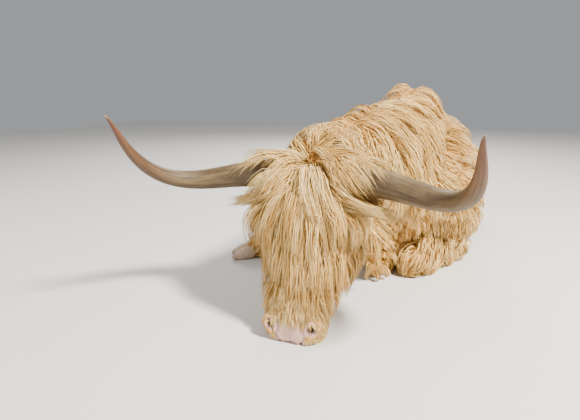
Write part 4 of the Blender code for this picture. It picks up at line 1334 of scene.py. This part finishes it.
rng = np.random.default_rng(COAT_SEED)
hide = make_hide()
unwrap(hide)
horns = {name: make_horn(f"horn_sheath_{name}", side, HORNS[name], HORN_RADIUS[name])
         for name, side in SIDES.items()}
pelt = Pelt(hide, horns.values())
subdivide_where(hide, near_features, FINE_CUTS)
sculpt_muzzle(hide)
sculpt_lids(hide)
smooth(hide)
local = into_head(points_of(hide))
store(hide, "bare", "FLOAT", nose_pad(local))
store(hide, "dark", "FLOAT", dark_skin_and_nostril_shade(local))
hide_skin = hide_material()
hide.data.materials.clear()
hide.data.materials.append(hide_skin)
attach(hide, "root")
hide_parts("head", "neck", "torso", "foreleg_left", "foreleg_right", "hindleg_left",
            "hindleg_right", "tail", "tail_switch")

horn_finish = horn_material()
for name, horn in horns.items():
    horn.data.materials.append(horn_finish)
    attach(horn, "root")
    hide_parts(f"horn_{name}")

ears = {}
for name, side in SIDES.items():
    leaf = ears[name] = make_ear(f"ear_leaf_{name}", side)
    store(leaf, "bare", "FLOAT", np.zeros(len(leaf.data.vertices)))
    store(leaf, "dark", "FLOAT", np.zeros(len(leaf.data.vertices)))
    leaf.data.materials.append(hide_skin)
    unwrap(leaf)
    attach(leaf, "root")
    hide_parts(f"ear_{name}")

eye_finish = eye_material()
for name, side in SIDES.items():
    ball = make_eye(f"eye_ball_{name}", side)
    ball.data.materials.append(eye_finish)
    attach(ball, "root")
    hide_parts(f"eye_{name}")

hoof_finish = hoof_material()
for foot, end, heading, sole_up in FEET:
    for label, side in (("a", 1), ("b", -1)):
        claw = make_claw(f"hoof_{foot}_{label}", end, heading, side, sole_up)
        claw.data.materials.append(hoof_finish)
        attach(claw, "root")
        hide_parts(f"claw_{foot}_{label}")

hair = hair_material()
skin = len(pelt.kind)
clear_of_floor = smooth_step(0.010, 0.030, pelt.points[:skin, 2] + 0.02 * pelt.normals[:skin, 2])
furred = 1 - nose_pad(pelt.local)
for name, (kinds, count) in COAT.items():
    batches = [dress_region(pelt, rng, pelt.on(*kinds) * furred * clear_of_floor, count)]
    if name == "coat_head":
        batches.append(dress_crown(pelt, rng))
    coat_pieces(name, batches, hair)
for name, side in SIDES.items():
    coat_pieces(f"coat_ear_{name}", [dress_ear(ears[name], side, rng)], hair)

# Floor, light and camera

deselect()
bpy.ops.mesh.primitive_plane_add(size=14.0, location=(0, 0, 0))
floor = bpy.context.object
floor.name = "studio_floor"
floor.data.materials.append(floor_material())

world = bpy.data.worlds.new("studio")
bpy.context.scene.world = world
world.use_nodes = True
world.node_tree.nodes["Background"].inputs["Color"].default_value = SKY_COLOR
world.node_tree.nodes["Background"].inputs["Strength"].default_value = SKY_STRENGTH

for name, place, target, size, power, color in LIGHTS:
    deselect()
    aim = (Vector(target) - Vector(place)).to_track_quat("-Z", "Y").to_euler()
    bpy.ops.object.light_add(type="AREA", location=place, rotation=aim)
    panel = bpy.context.object
    panel.name = name
    panel.data.size = size
    panel.data.energy = power
    panel.data.color = color

pitch = math.atan(PIXELS_DOWN / FOCAL_PIXELS)
aim = CAMERA_AIM.normalized() * math.cos(pitch) + Vector((0, 0, -math.sin(pitch)))
bpy.ops.object.camera_add(location=CAMERA_PLACE, rotation=aim.to_track_quat("-Z", "Y").to_euler())
camera = bpy.context.object
camera.data.sensor_width = SENSOR
camera.data.lens = FOCAL_PIXELS / PICTURE_WIDTH * SENSOR
bpy.context.scene.camera = camera
